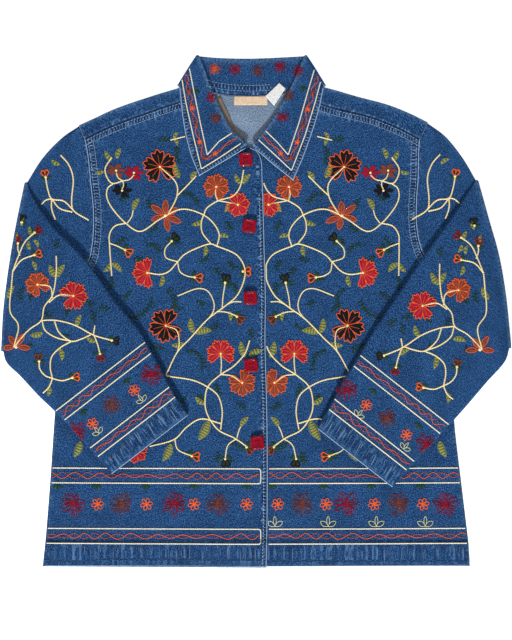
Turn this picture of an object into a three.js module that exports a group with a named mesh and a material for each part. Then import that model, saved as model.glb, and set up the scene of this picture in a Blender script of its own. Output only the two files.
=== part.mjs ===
import * as THREE from 'three';

// An embroidered denim jacket laid flat on a surface, front up, sleeves folded across it.
// Millimetres, +X to the viewer's right, +Y to the collar, +Z up, origin under the middle.

// Cloth thicknesses and the clearance between layers
const denim = 1.0;
const turnedHem = 1.8;
const doubledCollar = 1.8;
const tapeAndLabels = 0.8;
const layerGap = 0.3;
const seamGap = 0.4;

// Hem and cuff turn-ups
const hemTop = -312;
const stitchStep = 3;
const cuffDepth = 30.6;

// Sleeve: half thickness of the flat tube at the armhole, at the elbow fold and in the forearm
const armholeHalf = 1.15;
const elbowHalf = 1.6;
const forearmHalf = 2.1;
const upperPuff = 0.2;
const forearmPuff = 0.9;
const forearmUnderside = 3.9;
const forearmSettlesBy = 0.3;
const forearmPuffEnds = 0.8;

// Collar: heights of its middle surface where it lies under and over the body
const leafUnderBody = doubledCollar / 2;
const layerStep = doubledCollar + layerGap;
const standOverBack = leafUnderBody + layerStep;
const standUnderFront = 5.7;
const rollRadius = layerStep / 2;

// The leaf's edge under the body: its height at the middle, its bow toward the shoulders, how far
// below it the cloth over it starts and ends its climb, and where that lift fades out sideways
const hiddenLeaf = {
  middle: -7, edge: 281, bow: 23, reach: 98, climbFrom: 45, climbTo: 17, fadeFrom: 112, fadeTo: 150,
};

// Buttons: square, four holes
const buttonSide = 18;
const buttonThickness = 3.4;
const buttonCorner = 3.2;
const buttonBevel = 0.6;
const holeRadius = 1.1;
const holeSpacing = 2.6;

// Outlines in plan, each table from the hem upward or from the shoulder outward
const rightSide = [
  { x: -288, y: -344 }, { x: -284.5, y: hemTop }, { x: -284.3, y: hemTop + stitchStep },
  { x: -278, y: -229 }, { x: -271, y: -130 }, { x: -262, y: -40 }, { x: -254, y: 40 },
];
const rightArmhole = [
  { x: -254, y: 40 }, { x: -228, y: 67 }, { x: -222, y: 92 }, { x: -220.5, y: 135 },
  { x: -224, y: 172 }, { x: -228, y: 211 }, { x: -232, y: 233 },
];
const leftSide = [
  { x: 288, y: -343.5 }, { x: 286, y: hemTop }, { x: 285.8, y: hemTop + stitchStep },
  { x: 277, y: -236 }, { x: 268, y: -160 }, { x: 258, y: -50 }, { x: 249, y: 42 },
];
const leftArmhole = [
  { x: 249, y: 42 }, { x: 225, y: 81 }, { x: 217.5, y: 112.5 }, { x: 217, y: 150 },
  { x: 219, y: 178 }, { x: 220, y: 218 }, { x: 221, y: 232 },
];
const rightShoulderTip = { x: -239, y: 250 };
const leftShoulderTip = { x: 231, y: 254 };
const rightShoulderFold = [
  rightShoulderTip, { x: -217, y: 260 }, { x: -191, y: 272 }, { x: -145, y: 288 },
  { x: -108, y: 299 }, { x: -80, y: 307 },
];
const leftShoulderFold = [
  leftShoulderTip, { x: 209, y: 265 }, { x: 178, y: 277.5 }, { x: 139, y: 288 },
  { x: 99.5, y: 299 }, { x: 69, y: 306 },
];
const backNeck = [
  { x: -80, y: 307 }, { x: -58, y: 296 }, { x: -15, y: 291 }, { x: 30, y: 294 }, { x: 69, y: 306 },
];
const backHemMiddle = { x: 0, y: -344.5 };
const rightShoulderSeam = [
  { x: -232, y: 233 }, { x: -191, y: 252 }, { x: -145, y: 269 }, { x: -106.5, y: 282 }, { x: -79, y: 291 },
];
const leftShoulderSeam = [
  { x: 221, y: 232 }, { x: 193.5, y: 247 }, { x: 153, y: 263 }, { x: 99.5, y: 276 }, { x: 70, y: 287 },
];

// Front edges: the right front laps over the left one
const lapEdge = [
  { x: 14, y: -345.5 }, { x: 14.6, y: hemTop }, { x: 14.7, y: hemTop + stitchStep }, { x: 15.5, y: -254 },
  { x: 15, y: -140 }, { x: 12.5, y: -39 }, { x: 13, y: 14 }, { x: 11, y: 95 }, { x: 8.5, y: 180 },
  { x: 7, y: 204 }, { x: 1, y: 216 }, { x: -8, y: 220 },
];
const underEdge = [
  { x: -19, y: -343.5 }, { x: -19.6, y: hemTop }, { x: -19.7, y: hemTop + stitchStep },
  { x: -26, y: -140 }, { x: -30, y: 14 }, { x: -34, y: 216 },
];
const liftLead = 18;
const lapRamp = { from: 60, to: 30 };
const lapStraightRows = 10;
const lapStraightTop = 203;
const underStraightTop = 215;
const lapMargin = 8;
const edgeReach = { from: -40, to: 20 };
const rightNeckSeam = [{ x: -8, y: 220 }, { x: -42, y: 236 }, { x: -66, y: 264 }, { x: -79, y: 291 }];
const leftNeckSeam = [
  { x: -34, y: 216 }, { x: -6, y: 220 }, { x: 34, y: 236 }, { x: 58, y: 264 }, { x: 70, y: 287 },
];

// Sleeves in plan: the elbow fold, the cuff, and the edges between them; "near" is the shoulder side
const rightSleeve = {
  tip: rightShoulderTip,
  armhole: rightArmhole,
  outward: { x: -1, y: -0.05 },
  upperNear: [rightShoulderTip, { x: -261, y: 235 }, { x: -288, y: 207 }, { x: -309, y: 174 }],
  upperFar: [{ x: -254, y: 40 }, { x: -298, y: -6 }, { x: -341, y: -54 }],
  elbow: [{ x: -309, y: 174 }, { x: -322, y: 110 }, { x: -331, y: 56 }, { x: -338, y: 0 }, { x: -341, y: -54 }],
  foreNear: [
    { x: -309, y: 174 }, { x: -301, y: 154 }, { x: -272, y: 113 }, { x: -234, y: 74.5 }, { x: -191, y: 16 },
    { x: -157, y: -26 }, { x: -129, y: -76 }, { x: -110, y: -110 }, { x: -91.5, y: -140 },
  ],
  foreFar: [
    { x: -341, y: -54 }, { x: -337, y: -68 }, { x: -318, y: -87 }, { x: -292, y: -115 }, { x: -272, y: -134 },
    { x: -239, y: -169 }, { x: -214, y: -197 }, { x: -194, y: -219 },
  ],
};
const leftSleeve = {
  tip: leftShoulderTip,
  armhole: leftArmhole,
  outward: { x: 1, y: -0.05 },
  upperNear: [leftShoulderTip, { x: 255, y: 236 }, { x: 279, y: 206 }, { x: 296, y: 177 }],
  upperFar: [{ x: 249, y: 42 }, { x: 295, y: -3 }, { x: 341, y: -50 }],
  elbow: [{ x: 296, y: 177 }, { x: 311, y: 123 }, { x: 324, y: 76 }, { x: 333, y: 25 }, { x: 341, y: -50 }],
  foreNear: [
    { x: 296, y: 177 }, { x: 287, y: 163 }, { x: 264, y: 128 }, { x: 220, y: 67 }, { x: 200, y: 37 },
    { x: 162, y: -19 }, { x: 137, y: -60 }, { x: 110, y: -105 }, { x: 82, y: -158 },
  ],
  foreFar: [
    { x: 341, y: -50 }, { x: 336, y: -66 }, { x: 309, y: -97 }, { x: 280, y: -131 }, { x: 250, y: -164 },
    { x: 213, y: -204 }, { x: 183, y: -237 },
  ],
};

// Collar in plan, right front point round the neck to the left front point.
// Each row is one line across it: neck seam, roll line, outer edge.
const collarFrontRight = [
  { seamX: -13, seamY: 219, rollX: -13, rollY: 224, edgeX: -77, edgeY: 182 },
  { seamX: -40, seamY: 236, rollX: -34, rollY: 243, edgeX: -89, edgeY: 212 },
  { seamX: -62, seamY: 260, rollX: -48, rollY: 268, edgeX: -96, edgeY: 243 },
  { seamX: -75, seamY: 288, rollX: -62, rollY: 301, edgeX: -103, edgeY: 284 },
  { seamX: -80, seamY: 309, rollX: -77.5, rollY: 342.3, edgeX: -104, edgeY: 303 },
];
const collarBack = [
  { seamX: -80, seamY: 309, rollX: -77.5, rollY: 342.3, edgeX: -104, edgeY: 303 },
  { seamX: -58, seamY: 297, rollX: -53, rollY: 340, edgeX: -62, edgeY: 287 },
  { seamX: -10, seamY: 292, rollX: -7, rollY: 339, edgeX: -8, edgeY: 281 },
  { seamX: 40, seamY: 297, rollX: 42, rollY: 341, edgeX: 48, edgeY: 286 },
  { seamX: 69, seamY: 308, rollX: 65, rollY: 342.3, edgeX: 91.5, edgeY: 302.8 },
];
const collarFrontLeft = [
  { seamX: 69, seamY: 308, rollX: 65, rollY: 342.3, edgeX: 91.5, edgeY: 302.8 },
  { seamX: 65, seamY: 288, rollX: 51, rollY: 308, edgeX: 85, edgeY: 272 },
  { seamX: 52, seamY: 260, rollX: 38, rollY: 283, edgeX: 75, edgeY: 239 },
  { seamX: 30, seamY: 235, rollX: 19, rollY: 252, edgeX: 63, edgeY: 206 },
  { seamX: -4, seamY: 219, rollX: -4, rollY: 223, edgeX: 50, edgeY: 176 },
];

// Where the collar folds at the sides of the neck: the way outward in plan
const collarCornerRight = { x: -0.83, y: 0.56 };
const collarCornerLeft = { x: 0.84, y: 0.54 };
const leafFallsFrom = 0.25;

// Low soft swells of the fronts: centre, half length, half width, direction and height
const swells = [
  { x: -120, y: 90, long: 120, wide: 34, turn: -58, rise: 0.9 },
  { x: -75, y: -60, long: 110, wide: 30, turn: 80, rise: 0.7 },
  { x: -200, y: -170, long: 90, wide: 36, turn: 70, rise: 0.8 },
  { x: 115, y: 100, long: 120, wide: 34, turn: 60, rise: 0.9 },
  { x: 85, y: -40, long: 110, wide: 30, turn: -82, rise: 0.7 },
  { x: 190, y: -180, long: 90, wide: 36, turn: -72, rise: 0.8 },
];

const neckLabel = { left: -30, right: 15, top: 290, bottom: 278 };
const careLabel = [{ x: 12, y: 290 }, { x: 24, y: 277 }, { x: 39.5, y: 300.5 }, { x: 31, y: 308 }];
const tapeLine = [{ x: -53.5, y: 287 }, { x: -44, y: 268 }, { x: -30, y: 241 }, { x: -18, y: 231 }];
const tapeWidth = 12;
const tapeTaper = 0.35;
const tapeDrop = { from: 225, to: 262, height: 0.6 };

const buttons = [
  { x: -14.2, y: 204.5, turn: 3 },
  { x: -9.5, y: 115, turn: -10 },
  { x: -8.1, y: 18, turn: 3 },
  { x: -7, y: -73, turn: 5 },
  { x: 1.6, y: -177, turn: 7 },
];

// Rows and columns of the panels
const hemColumns = 10;
const shoulderColumns = 6;
const neckColumns = 6;
const sideRows = 9;
const armholeRows = 7;
const neckRows = 5;
const labelColumns = 4;
const labelRows = 3;

// Turns of the normal, in degrees, round the folded edges
const shoulderTurns = [60, 120, 180];
const stripShares = [0.5, 1];
const roundTurns = [45, 90, 135];

// Looks
const denimBlue = new THREE.MeshStandardMaterial({ color: 0x2d5a91, roughness: 0.9, metalness: 0 });
const tapeKhaki = new THREE.MeshStandardMaterial({ color: 0x786e64, roughness: 0.95, metalness: 0 });
const labelBeige = new THREE.MeshStandardMaterial({ color: 0xe3c9a8, roughness: 0.8, metalness: 0 });
const labelWhite = new THREE.MeshStandardMaterial({ color: 0xf4f4f2, roughness: 0.8, metalness: 0 });
const buttonRed = new THREE.MeshStandardMaterial({ color: 0xb80a22, roughness: 0.2, metalness: 0 });

const up = new THREE.Vector3(0, 0, 1);

function smoothstep(from, to, value) {
  return THREE.MathUtils.smoothstep(value, from, to);
}

// Points evenly spaced along a smooth line through the rows of a table
function along(table, steps) {
  const places = table.map(({ x, y }) => new THREE.Vector3(x, y, 0));
  const curve = new THREE.CatmullRomCurve3(places, false, 'centripetal');
  return Array.from({ length: steps + 1 }, (_, k) => curve.getPointAt(k / steps));
}

// Several lines end to end
function chain(...lines) {
  return lines.flatMap((line, k) => (k === 0 ? line : line.slice(1)));
}

// The hem's rows of an edge table are kept, the rest is spaced evenly
function risingEdge(table, steps) {
  const hemRows = table.slice(0, 3).map(({ x, y }) => new THREE.Vector3(x, y, 0));
  return chain(hemRows, along(table.slice(2), steps));
}

// The armhole from underarm to seam, then on to the shoulder's tip
function armholeEdge(armhole, tip) {
  return [...along(armhole, armholeRows), new THREE.Vector3(tip.x, tip.y, 0)];
}

// A patch in plan that fills four edges: rows from low to high, columns from near to far
function patch(low, high, near, far) {
  const lastRow = near.length - 1;
  const lastColumn = low.length - 1;
  return near.map((_, j) => low.map((__, i) => {
    const v = smoothstep(0, 1, j / lastRow);
    const u = i / lastColumn;
    const across = low[i].clone().lerp(high[i], v);
    const sides = near[j].clone().lerp(far[j], u);
    const highCorners = high[0].clone().lerp(high[lastColumn], u);
    const corners = low[0].clone().lerp(low[lastColumn], u).lerp(highCorners, v);
    return across.add(sides).sub(corners);
  }));
}

// A closed wall from a grid of middle points, each with its normal and half thickness.
// A cell counts where kept(row, column) is true; a ring joins its last column to its first.
function wall(name, material, grid, { ring = false, kept = () => true } = {}) {
  const rows = grid.length;
  const columns = grid[0].length;
  const cells = ring ? columns : columns - 1;
  const layers = [1, -1].map((side) => grid.flat().map(({ middle, normal, half }) =>
    middle.clone().addScaledVector(normal, side * half)));
  const point = (layer, j, i) => layers[layer][j * columns + (i % columns)];
  const inside = (j, i) => j >= 0 && j < rows - 1 && (ring || (i >= 0 && i < cells));
  const has = (j, i) => inside(j, i) && kept(j, (i + cells) % cells);
  const corners = [];
  const quad = (a, b, c, d) => corners.push(a, b, c, a, c, d);
  for (let j = 0; j < rows - 1; j++) {
    for (let i = 0; i < cells; i++) {
      if (!has(j, i)) continue;
      const [a, b, c, d] = [point(0, j, i), point(0, j, i + 1), point(0, j + 1, i + 1), point(0, j + 1, i)];
      const [e, f, g, h] = [point(1, j, i), point(1, j, i + 1), point(1, j + 1, i + 1), point(1, j + 1, i)];
      quad(a, b, c, d);
      quad(e, h, g, f);
      if (!has(j - 1, i)) quad(e, f, b, a);
      if (!has(j + 1, i)) quad(d, c, g, h);
      if (!has(j, i - 1)) quad(a, d, h, e);
      if (!has(j, i + 1)) quad(f, g, c, b);
    }
  }
  const geometry = new THREE.BufferGeometry().setFromPoints(corners);
  geometry.computeVertexNormals();
  const mesh = new THREE.Mesh(geometry, material);
  mesh.name = name;
  return mesh;
}

// The body rises over the part of the collar that lies under it; the upper layer rises sooner
function bodyLift(x, y, sooner = 0) {
  const { middle, edge, bow, reach, climbFrom, climbTo, fadeFrom, fadeTo } = hiddenLeaf;
  const fromMiddle = Math.abs(x - middle);
  const leafEdge = edge + bow * (fromMiddle / reach) ** 2;
  const lengthwise = smoothstep(leafEdge - climbFrom - sooner, leafEdge - climbTo - sooner, y);
  return layerStep * lengthwise * (1 - smoothstep(fadeFrom + 2 * sooner, fadeTo + 2 * sooner, fromMiddle));
}

function bodyWall(y) {
  return y < hemTop + stitchStep / 2 ? turnedHem : denim;
}

function backTop(x, y) {
  return bodyLift(x, y) + bodyWall(y);
}

// Sum of the swells at a place on a front
function swellAt(x, y) {
  return swells.reduce((sum, swell) => {
    const turn = THREE.MathUtils.degToRad(swell.turn);
    const lengthwise = ((x - swell.x) * Math.cos(turn) + (y - swell.y) * Math.sin(turn)) / swell.long;
    const crosswise = (-(x - swell.x) * Math.sin(turn) + (y - swell.y) * Math.cos(turn)) / swell.wide;
    return sum + swell.rise * Math.exp(-(lengthwise ** 2 + crosswise ** 2));
  }, 0);
}

// X of a front edge at a height, from its table
function edgeAt(table, y) {
  const k = Math.max(1, table.findIndex((row) => row.y >= y));
  const [a, b] = [table[k - 1], table[k]];
  return THREE.MathUtils.clamp(THREE.MathUtils.mapLinear(y, a.y, b.y, a.x, b.x), edgeReach.from, edgeReach.to);
}

function underFrontBottom(x, y) {
  return bodyLift(x, y, liftLead) + bodyWall(y) + layerGap + swellAt(x, y);
}

// The lapping front climbs over the other one's edge
function lapFrontBottom(x, y) {
  const hidden = edgeAt(underEdge, Math.min(y, underStraightTop));
  const climb = smoothstep(hidden - lapRamp.from, hidden - lapRamp.to, x);
  return underFrontBottom(x, y) + climb * (bodyWall(y) + layerGap);
}

function frontTop(x, y) {
  const lap = edgeAt(lapEdge.slice(0, lapStraightRows), Math.min(y, lapStraightTop));
  return (x < lap + lapMargin ? lapFrontBottom(x, y) : underFrontBottom(x, y)) + bodyWall(y);
}

// A flat panel: the grid in plan laid at a height, normals up
function laidGrid(plan, bottomAt, wallAt) {
  return plan.map((row) => row.map(({ x, y }) => {
    const half = wallAt(x, y) / 2;
    return { middle: new THREE.Vector3(x, y, bottomAt(x, y) + half), normal: up, half };
  }));
}

// Back: one panel that turns forward over each shoulder to the forward seam
function makeBack() {
  const near = chain(risingEdge(rightSide, sideRows), armholeEdge(rightArmhole, rightShoulderTip));
  const far = chain(risingEdge(leftSide, sideRows), armholeEdge(leftArmhole, leftShoulderTip));
  const columns = 2 * shoulderColumns + neckColumns;
  const foldRight = along(rightShoulderFold, shoulderColumns);
  const foldLeft = along(leftShoulderFold, shoulderColumns).reverse();
  const top = chain(foldRight, along(backNeck, neckColumns), foldLeft);
  const hem = along([near[0], backHemMiddle, far[0]], columns);
  const grid = laidGrid(patch(hem, top, near, far), bodyLift, (x, y) => bodyWall(y));
  const mainRows = grid.length;

  const seamRight = along(rightShoulderSeam, shoulderColumns);
  const seamLeft = along(leftShoulderSeam, shoulderColumns).reverse();
  const seamNeck = along([rightShoulderSeam.at(-1), leftShoulderSeam.at(-1)], neckColumns);
  const seam = chain(seamRight, seamNeck, seamLeft);
  const radius = (denim + layerGap) / 2;
  const turnRow = (degrees) => top.map((fold, i) => {
    const turn = THREE.MathUtils.degToRad(degrees);
    const outward = fold.clone().sub(seam[i]).setZ(0).normalize();
    const middle = fold.clone().addScaledVector(outward, radius * Math.sin(turn));
    middle.z = bodyLift(fold.x, fold.y) + denim / 2 + radius * (1 - Math.cos(turn));
    const normal = up.clone().multiplyScalar(Math.cos(turn)).addScaledVector(outward, -Math.sin(turn));
    return { middle, normal, half: denim / 2 };
  });
  const stripRow = (share) => top.map((fold, i) => {
    const outward = fold.clone().sub(seam[i]).setZ(0).normalize();
    const place = fold.clone().lerp(seam[i].clone().addScaledVector(outward, seamGap), share);
    place.z = underFrontBottom(place.x, place.y) + denim / 2;
    return { middle: place, normal: up.clone().negate(), half: denim / 2 };
  });
  grid.push(...shoulderTurns.map(turnRow), ...stripShares.map(stripRow));

  const kept = (j, i) => j < mainRows - 1 || i < shoulderColumns || i >= shoulderColumns + neckColumns;
  return wall('back', denimBlue, grid, { kept });
}

// A front: hem, shoulder seam, side with armhole, and front edge with neck seam
function makeFront(name, side, armhole, frontEdge, neckSeam, shoulderSeam, bottomAt) {
  const outer = chain(risingEdge(side, sideRows), along(armhole, armholeRows));
  const inner = chain(risingEdge(frontEdge, sideRows + armholeRows - neckRows), along(neckSeam, neckRows));
  const inward = Math.sign(inner[0].x - outer[0].x);
  const hem = along([side[0], frontEdge[0]], hemColumns);
  const shoulder = along(shoulderSeam, hemColumns);
  const plan = inward > 0 ? patch(hem, shoulder, outer, inner)
    : patch(hem.reverse(), shoulder.reverse(), inner, outer);
  return wall(name, denimBlue, laidGrid(plan, bottomAt, (x, y) => bodyWall(y)));
}

// A sleeve: a flat tube of cloth that lies beside the body, turns over at the elbow and
// comes back across the front. Each ring has two layers and two rounded edges.
function makeSleeve(name, { tip, armhole, outward, upperNear, upperFar, elbow, foreNear, foreFar }, mirrored) {
  const across = armholeRows + 1;
  const upperRows = 4;
  const foreRows = 10;
  const turnSteps = 5;
  const gapIn = (point) => point.clone().addScaledVector(new THREE.Vector3(outward.x, outward.y, 0), layerGap);
  const armholeLine = armholeEdge(armhole, tip).reverse().map(gapIn);
  const elbowLine = along(elbow, across);
  const near = along(upperNear, upperRows);
  const far = along(upperFar, upperRows);
  near[0] = armholeLine[0];
  far[0] = armholeLine[across];
  const upper = patch(armholeLine, elbowLine, near, far);
  const foreNearEdge = along(foreNear, foreRows);
  const foreFarEdge = along(foreFar, foreRows);
  const cuff = along([foreNear.at(-1), foreFar.at(-1)], across);
  const fore = patch(elbowLine, cuff, foreNearEdge, foreFarEdge);

  // Rings: the line across the sleeve, the tilt of its normal, half thickness and height
  const out = new THREE.Vector3(outward.x, outward.y, 0).normalize();
  const puffAt = (i) => 4 * (i / across) * (1 - i / across);
  const rings = [];
  upper.forEach((line, j) => {
    const share = j / upperRows;
    const flat = THREE.MathUtils.lerp(armholeHalf, elbowHalf, share);
    const puff = upperPuff * Math.sin(Math.PI * share);
    const half = (i) => flat + puff * puffAt(i);
    rings.push({ line, half, normal: up, height: half, wallAt: denim });
  });
  const radius = elbowHalf + layerGap / 2;
  for (let k = 1; k < turnSteps; k++) {
    const turn = (Math.PI * k) / turnSteps;
    rings.push({
      line: elbowLine.map((point) => point.clone().addScaledVector(out, radius * Math.sin(turn))),
      half: () => elbowHalf,
      normal: up.clone().multiplyScalar(Math.cos(turn)).addScaledVector(out, -Math.sin(turn)),
      height: () => elbowHalf + radius * (1 - Math.cos(turn)),
      wallAt: denim,
    });
  }
  const foreLength = foreNearEdge[0].distanceTo(foreNearEdge[foreRows]);
  const cuffShare = 1 - cuffDepth / foreLength;
  const addForeRing = (line, share, wallAt) => {
    const settle = smoothstep(0, forearmSettlesBy, share);
    const flat = THREE.MathUtils.lerp(elbowHalf, forearmHalf, settle);
    const puff = forearmPuff * Math.sin(Math.PI * Math.min(share, forearmPuffEnds));
    const half = (i) => flat + puff * puffAt(i);
    const underside = THREE.MathUtils.lerp(2 * radius, forearmUnderside, settle);
    rings.push({ line, half, normal: up.clone().negate(), height: (i) => underside + half(i), wallAt });
  };
  fore.forEach((line, j) => {
    const share = j / foreRows;
    if (share < cuffShare) addForeRing(line, share, denim);
  });
  const lineAt = (share) => {
    const j = Math.min(foreRows - 1, Math.floor(share * foreRows));
    return fore[j].map((point, i) => point.clone().lerp(fore[j + 1][i], share * foreRows - j));
  };
  addForeRing(lineAt(cuffShare), cuffShare, denim);
  const turnUpShare = cuffShare + stitchStep / foreLength;
  addForeRing(lineAt(turnUpShare), turnUpShare, turnedHem);
  addForeRing(fore[foreRows], 1, turnedHem);

  // Round each line: along one layer, round the far edge, back along the other, round the near edge
  const layerColumns = Array.from({ length: across + 1 }, (_, i) => i);
  const grid = rings.map(({ line, half, normal, height, wallAt }) => {
    const ring = [];
    const put = (i, edgeward, degrees) => {
      const turn = THREE.MathUtils.degToRad(degrees);
      const direction = normal.clone().multiplyScalar(Math.cos(turn)).addScaledVector(edgeward, Math.sin(turn));
      const inset = line[i].clone().addScaledVector(edgeward, -half(i) * (i === 0 || i === across ? 1 : 0));
      inset.z = height(i);
      const middle = inset.addScaledVector(direction, half(i) - wallAt / 2);
      ring.push({ middle, normal: direction, half: wallAt / 2 });
    };
    const farward = line[across].clone().sub(line[across - 1]).setZ(0).normalize();
    const nearward = line[0].clone().sub(line[1]).setZ(0).normalize();
    layerColumns.forEach((i) => put(i, i === 0 ? nearward : farward, 0));
    roundTurns.forEach((degrees) => put(across, farward, degrees));
    layerColumns.slice().reverse().forEach((i) => put(i, i === 0 ? nearward : farward, 180));
    roundTurns.slice().reverse().forEach((degrees) => put(0, nearward, degrees));
    return mirrored ? ring.reverse() : ring;
  });
  return wall(name, denimBlue, grid, { ring: true });
}

// Collar: lines across it, from neck seam over the roll to the outer edge. The ring that they
// make round the neck is pressed flat: its back half lies low, its front half high.
function makeCollar() {
  const standShares = [0, 0.5, 1];
  const rollTurns = [45, 90, 135, 180];
  const leafShares = [0.2, 0.45, 0.7, 1];
  const at = (row, name) => new THREE.Vector3(row[`${name}X`], row[`${name}Y`], 0);
  const linesOf = (table, steps) => ['seam', 'roll', 'edge'].map((name) =>
    along(table.map((row) => ({ x: row[`${name}X`], y: row[`${name}Y`] })), steps));
  const frontSteps = 8;
  const backSteps = 8;
  const stations = [];
  const addStations = (table, steps, turnAt) => {
    const [seam, roll, edge] = linesOf(table, steps);
    seam.forEach((place, k) => stations.push({ seam: place, roll: roll[k], edge: edge[k], turn: turnAt }));
  };
  const addCorner = (row, turns, outward) => turns.forEach((turn) => stations.push({
    seam: at(row, 'seam'), roll: at(row, 'roll'), edge: at(row, 'edge'), turn, outward,
  }));
  const rightCorner = new THREE.Vector3(collarCornerRight.x, collarCornerRight.y, 0);
  const leftCorner = new THREE.Vector3(collarCornerLeft.x, collarCornerLeft.y, 0);
  addStations(collarFrontRight, frontSteps, 180);
  addCorner(collarBack[0], roundTurns.slice().reverse(), rightCorner);
  addStations(collarBack, backSteps, 0);
  addCorner(collarBack.at(-1), roundTurns, leftCorner);
  addStations(collarFrontLeft, frontSteps, 180);

  const rows = stations.map(({ seam, roll, edge, turn, outward = new THREE.Vector3() }) => {
    const inward = roll.clone().sub(seam.clone().lerp(edge, 0.5)).normalize();
    const angle = THREE.MathUtils.degToRad(turn);
    const place = (plan, offset, drop) => {
      const low = standOverBack - offset;
      const high = turn > 0 ? standUnderFront + offset - drop : low;
      const middle = plan.clone().addScaledVector(outward, ((high - low) / 2) * Math.sin(angle));
      middle.z = low + ((high - low) * (1 - Math.cos(angle))) / 2;
      return middle;
    };
    const line = standShares.map((share) => place(seam.clone().lerp(roll, share), 0, 0));
    rollTurns.forEach((degrees) => {
      const bend = THREE.MathUtils.degToRad(degrees);
      const plan = roll.clone().addScaledVector(inward, rollRadius * Math.sin(bend));
      line.push(place(plan, rollRadius * (1 - Math.cos(bend)), 0));
    });
    leafShares.forEach((share) => {
      const plan = roll.clone().lerp(edge, share);
      const resting = frontTop(plan.x, plan.y) + layerGap + doubledCollar / 2;
      const fall = Math.max(0, standUnderFront + layerStep - resting) * smoothstep(leafFallsFrom, 1, share);
      line.push(place(plan, layerStep, fall));
    });
    return line;
  });

  // Normals from the neighbours along and across
  const grid = rows.map((line, j) => line.map((middle, i) => {
    const before = rows[Math.max(j - 1, 0)][i];
    const after = rows[Math.min(j + 1, rows.length - 1)][i];
    const lengthwise = after.clone().sub(before);
    const crosswise = line[Math.min(i + 1, line.length - 1)].clone().sub(line[Math.max(i - 1, 0)]);
    const normal = crosswise.cross(lengthwise).normalize();
    return { middle, normal, half: doubledCollar / 2 };
  }));
  return wall('collar', denimBlue, grid);
}

// Tape over the neck seam, inside the right front, seen along the V
function makeTape() {
  const steps = 8;
  const line = along(tapeLine, steps);
  const plan = line.map((point, k) => {
    const heading = line[Math.min(k + 1, steps)].clone().sub(line[Math.max(k - 1, 0)]).normalize();
    const sideways = new THREE.Vector3(heading.y, -heading.x, 0);
    const width = tapeWidth * (1 - tapeTaper * (k / steps));
    return [-0.5, 0, 0.5].map((share) => point.clone().addScaledVector(sideways, width * share));
  });
  const { from, to, height } = tapeDrop;
  const bottom = (x, y) => backTop(x, y) + layerGap + height * (1 - smoothstep(from, to, y));
  return wall('neck_tape', tapeKhaki, laidGrid(plan, bottom, () => tapeAndLabels));
}

// A label: a flat piece between four corners, counted anticlockwise, lying on what is under it
function makeLabel(name, material, [a, b, c, d], bottomAt) {
  const ends = [along([a, b], labelColumns), along([d, c], labelColumns)];
  const plan = patch(...ends, along([a, d], labelRows), along([b, c], labelRows));
  return wall(name, material, laidGrid(plan, bottomAt, () => tapeAndLabels));
}

// A square button with rounded corners and four holes, worn edges rounded by a bevel
function makeButton(name, { x, y, turn }) {
  const outline = new THREE.Shape();
  const reach = buttonSide / 2 - buttonBevel;
  const round = buttonCorner - buttonBevel;
  const quarters = [[1, 1], [-1, 1], [-1, -1], [1, -1]];
  const centre = reach - round;
  quarters.forEach(([sx, sy], k) => {
    outline.absarc(sx * centre, sy * centre, round, (k * Math.PI) / 2, ((k + 1) * Math.PI) / 2, false);
  });
  for (const [sx, sy] of quarters) {
    const hole = new THREE.Path();
    hole.absarc(sx * holeSpacing, sy * holeSpacing, holeRadius, 0, 2 * Math.PI, true);
    outline.holes.push(hole);
  }
  const geometry = new THREE.ExtrudeGeometry(outline, {
    depth: buttonThickness - 2 * buttonBevel,
    curveSegments: 3,
    bevelThickness: buttonBevel,
    bevelSize: buttonBevel,
    bevelSegments: 1,
  });
  const mesh = new THREE.Mesh(geometry, buttonRed);
  mesh.name = name;
  const under = [-1, 0, 1].flatMap((sx) => [-1, 0, 1].map((sy) => frontTop(x + sx * reach, y + sy * reach)));
  mesh.position.set(x, y, Math.max(...under) + layerGap + buttonBevel);
  mesh.rotation.z = THREE.MathUtils.degToRad(turn);
  return mesh;
}

const jacket = new THREE.Group();
jacket.add(makeBack());
const rightLines = [rightSide, rightArmhole, lapEdge, rightNeckSeam, rightShoulderSeam];
jacket.add(makeFront('front_right', ...rightLines, lapFrontBottom));
const leftLines = [leftSide, leftArmhole, underEdge, leftNeckSeam, leftShoulderSeam];
jacket.add(makeFront('front_left', ...leftLines, underFrontBottom));
jacket.add(makeSleeve('sleeve_right', rightSleeve, true));
jacket.add(makeSleeve('sleeve_left', leftSleeve, false));
jacket.add(makeCollar());
jacket.add(makeTape());
const neckLabelCorners = [
  { x: neckLabel.left, y: neckLabel.bottom }, { x: neckLabel.right, y: neckLabel.bottom },
  { x: neckLabel.right, y: neckLabel.top }, { x: neckLabel.left, y: neckLabel.top },
];
jacket.add(makeLabel('neck_label', labelBeige, neckLabelCorners, (x, y) => backTop(x, y) + layerGap));
const careLabelHeight = standOverBack + doubledCollar / 2 + 2 * layerGap;
jacket.add(makeLabel('care_label', labelWhite, careLabel, () => careLabelHeight));
buttons.forEach((row, k) => jacket.add(makeButton(`button_${k + 1}`, row)));

export default jacket;
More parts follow.
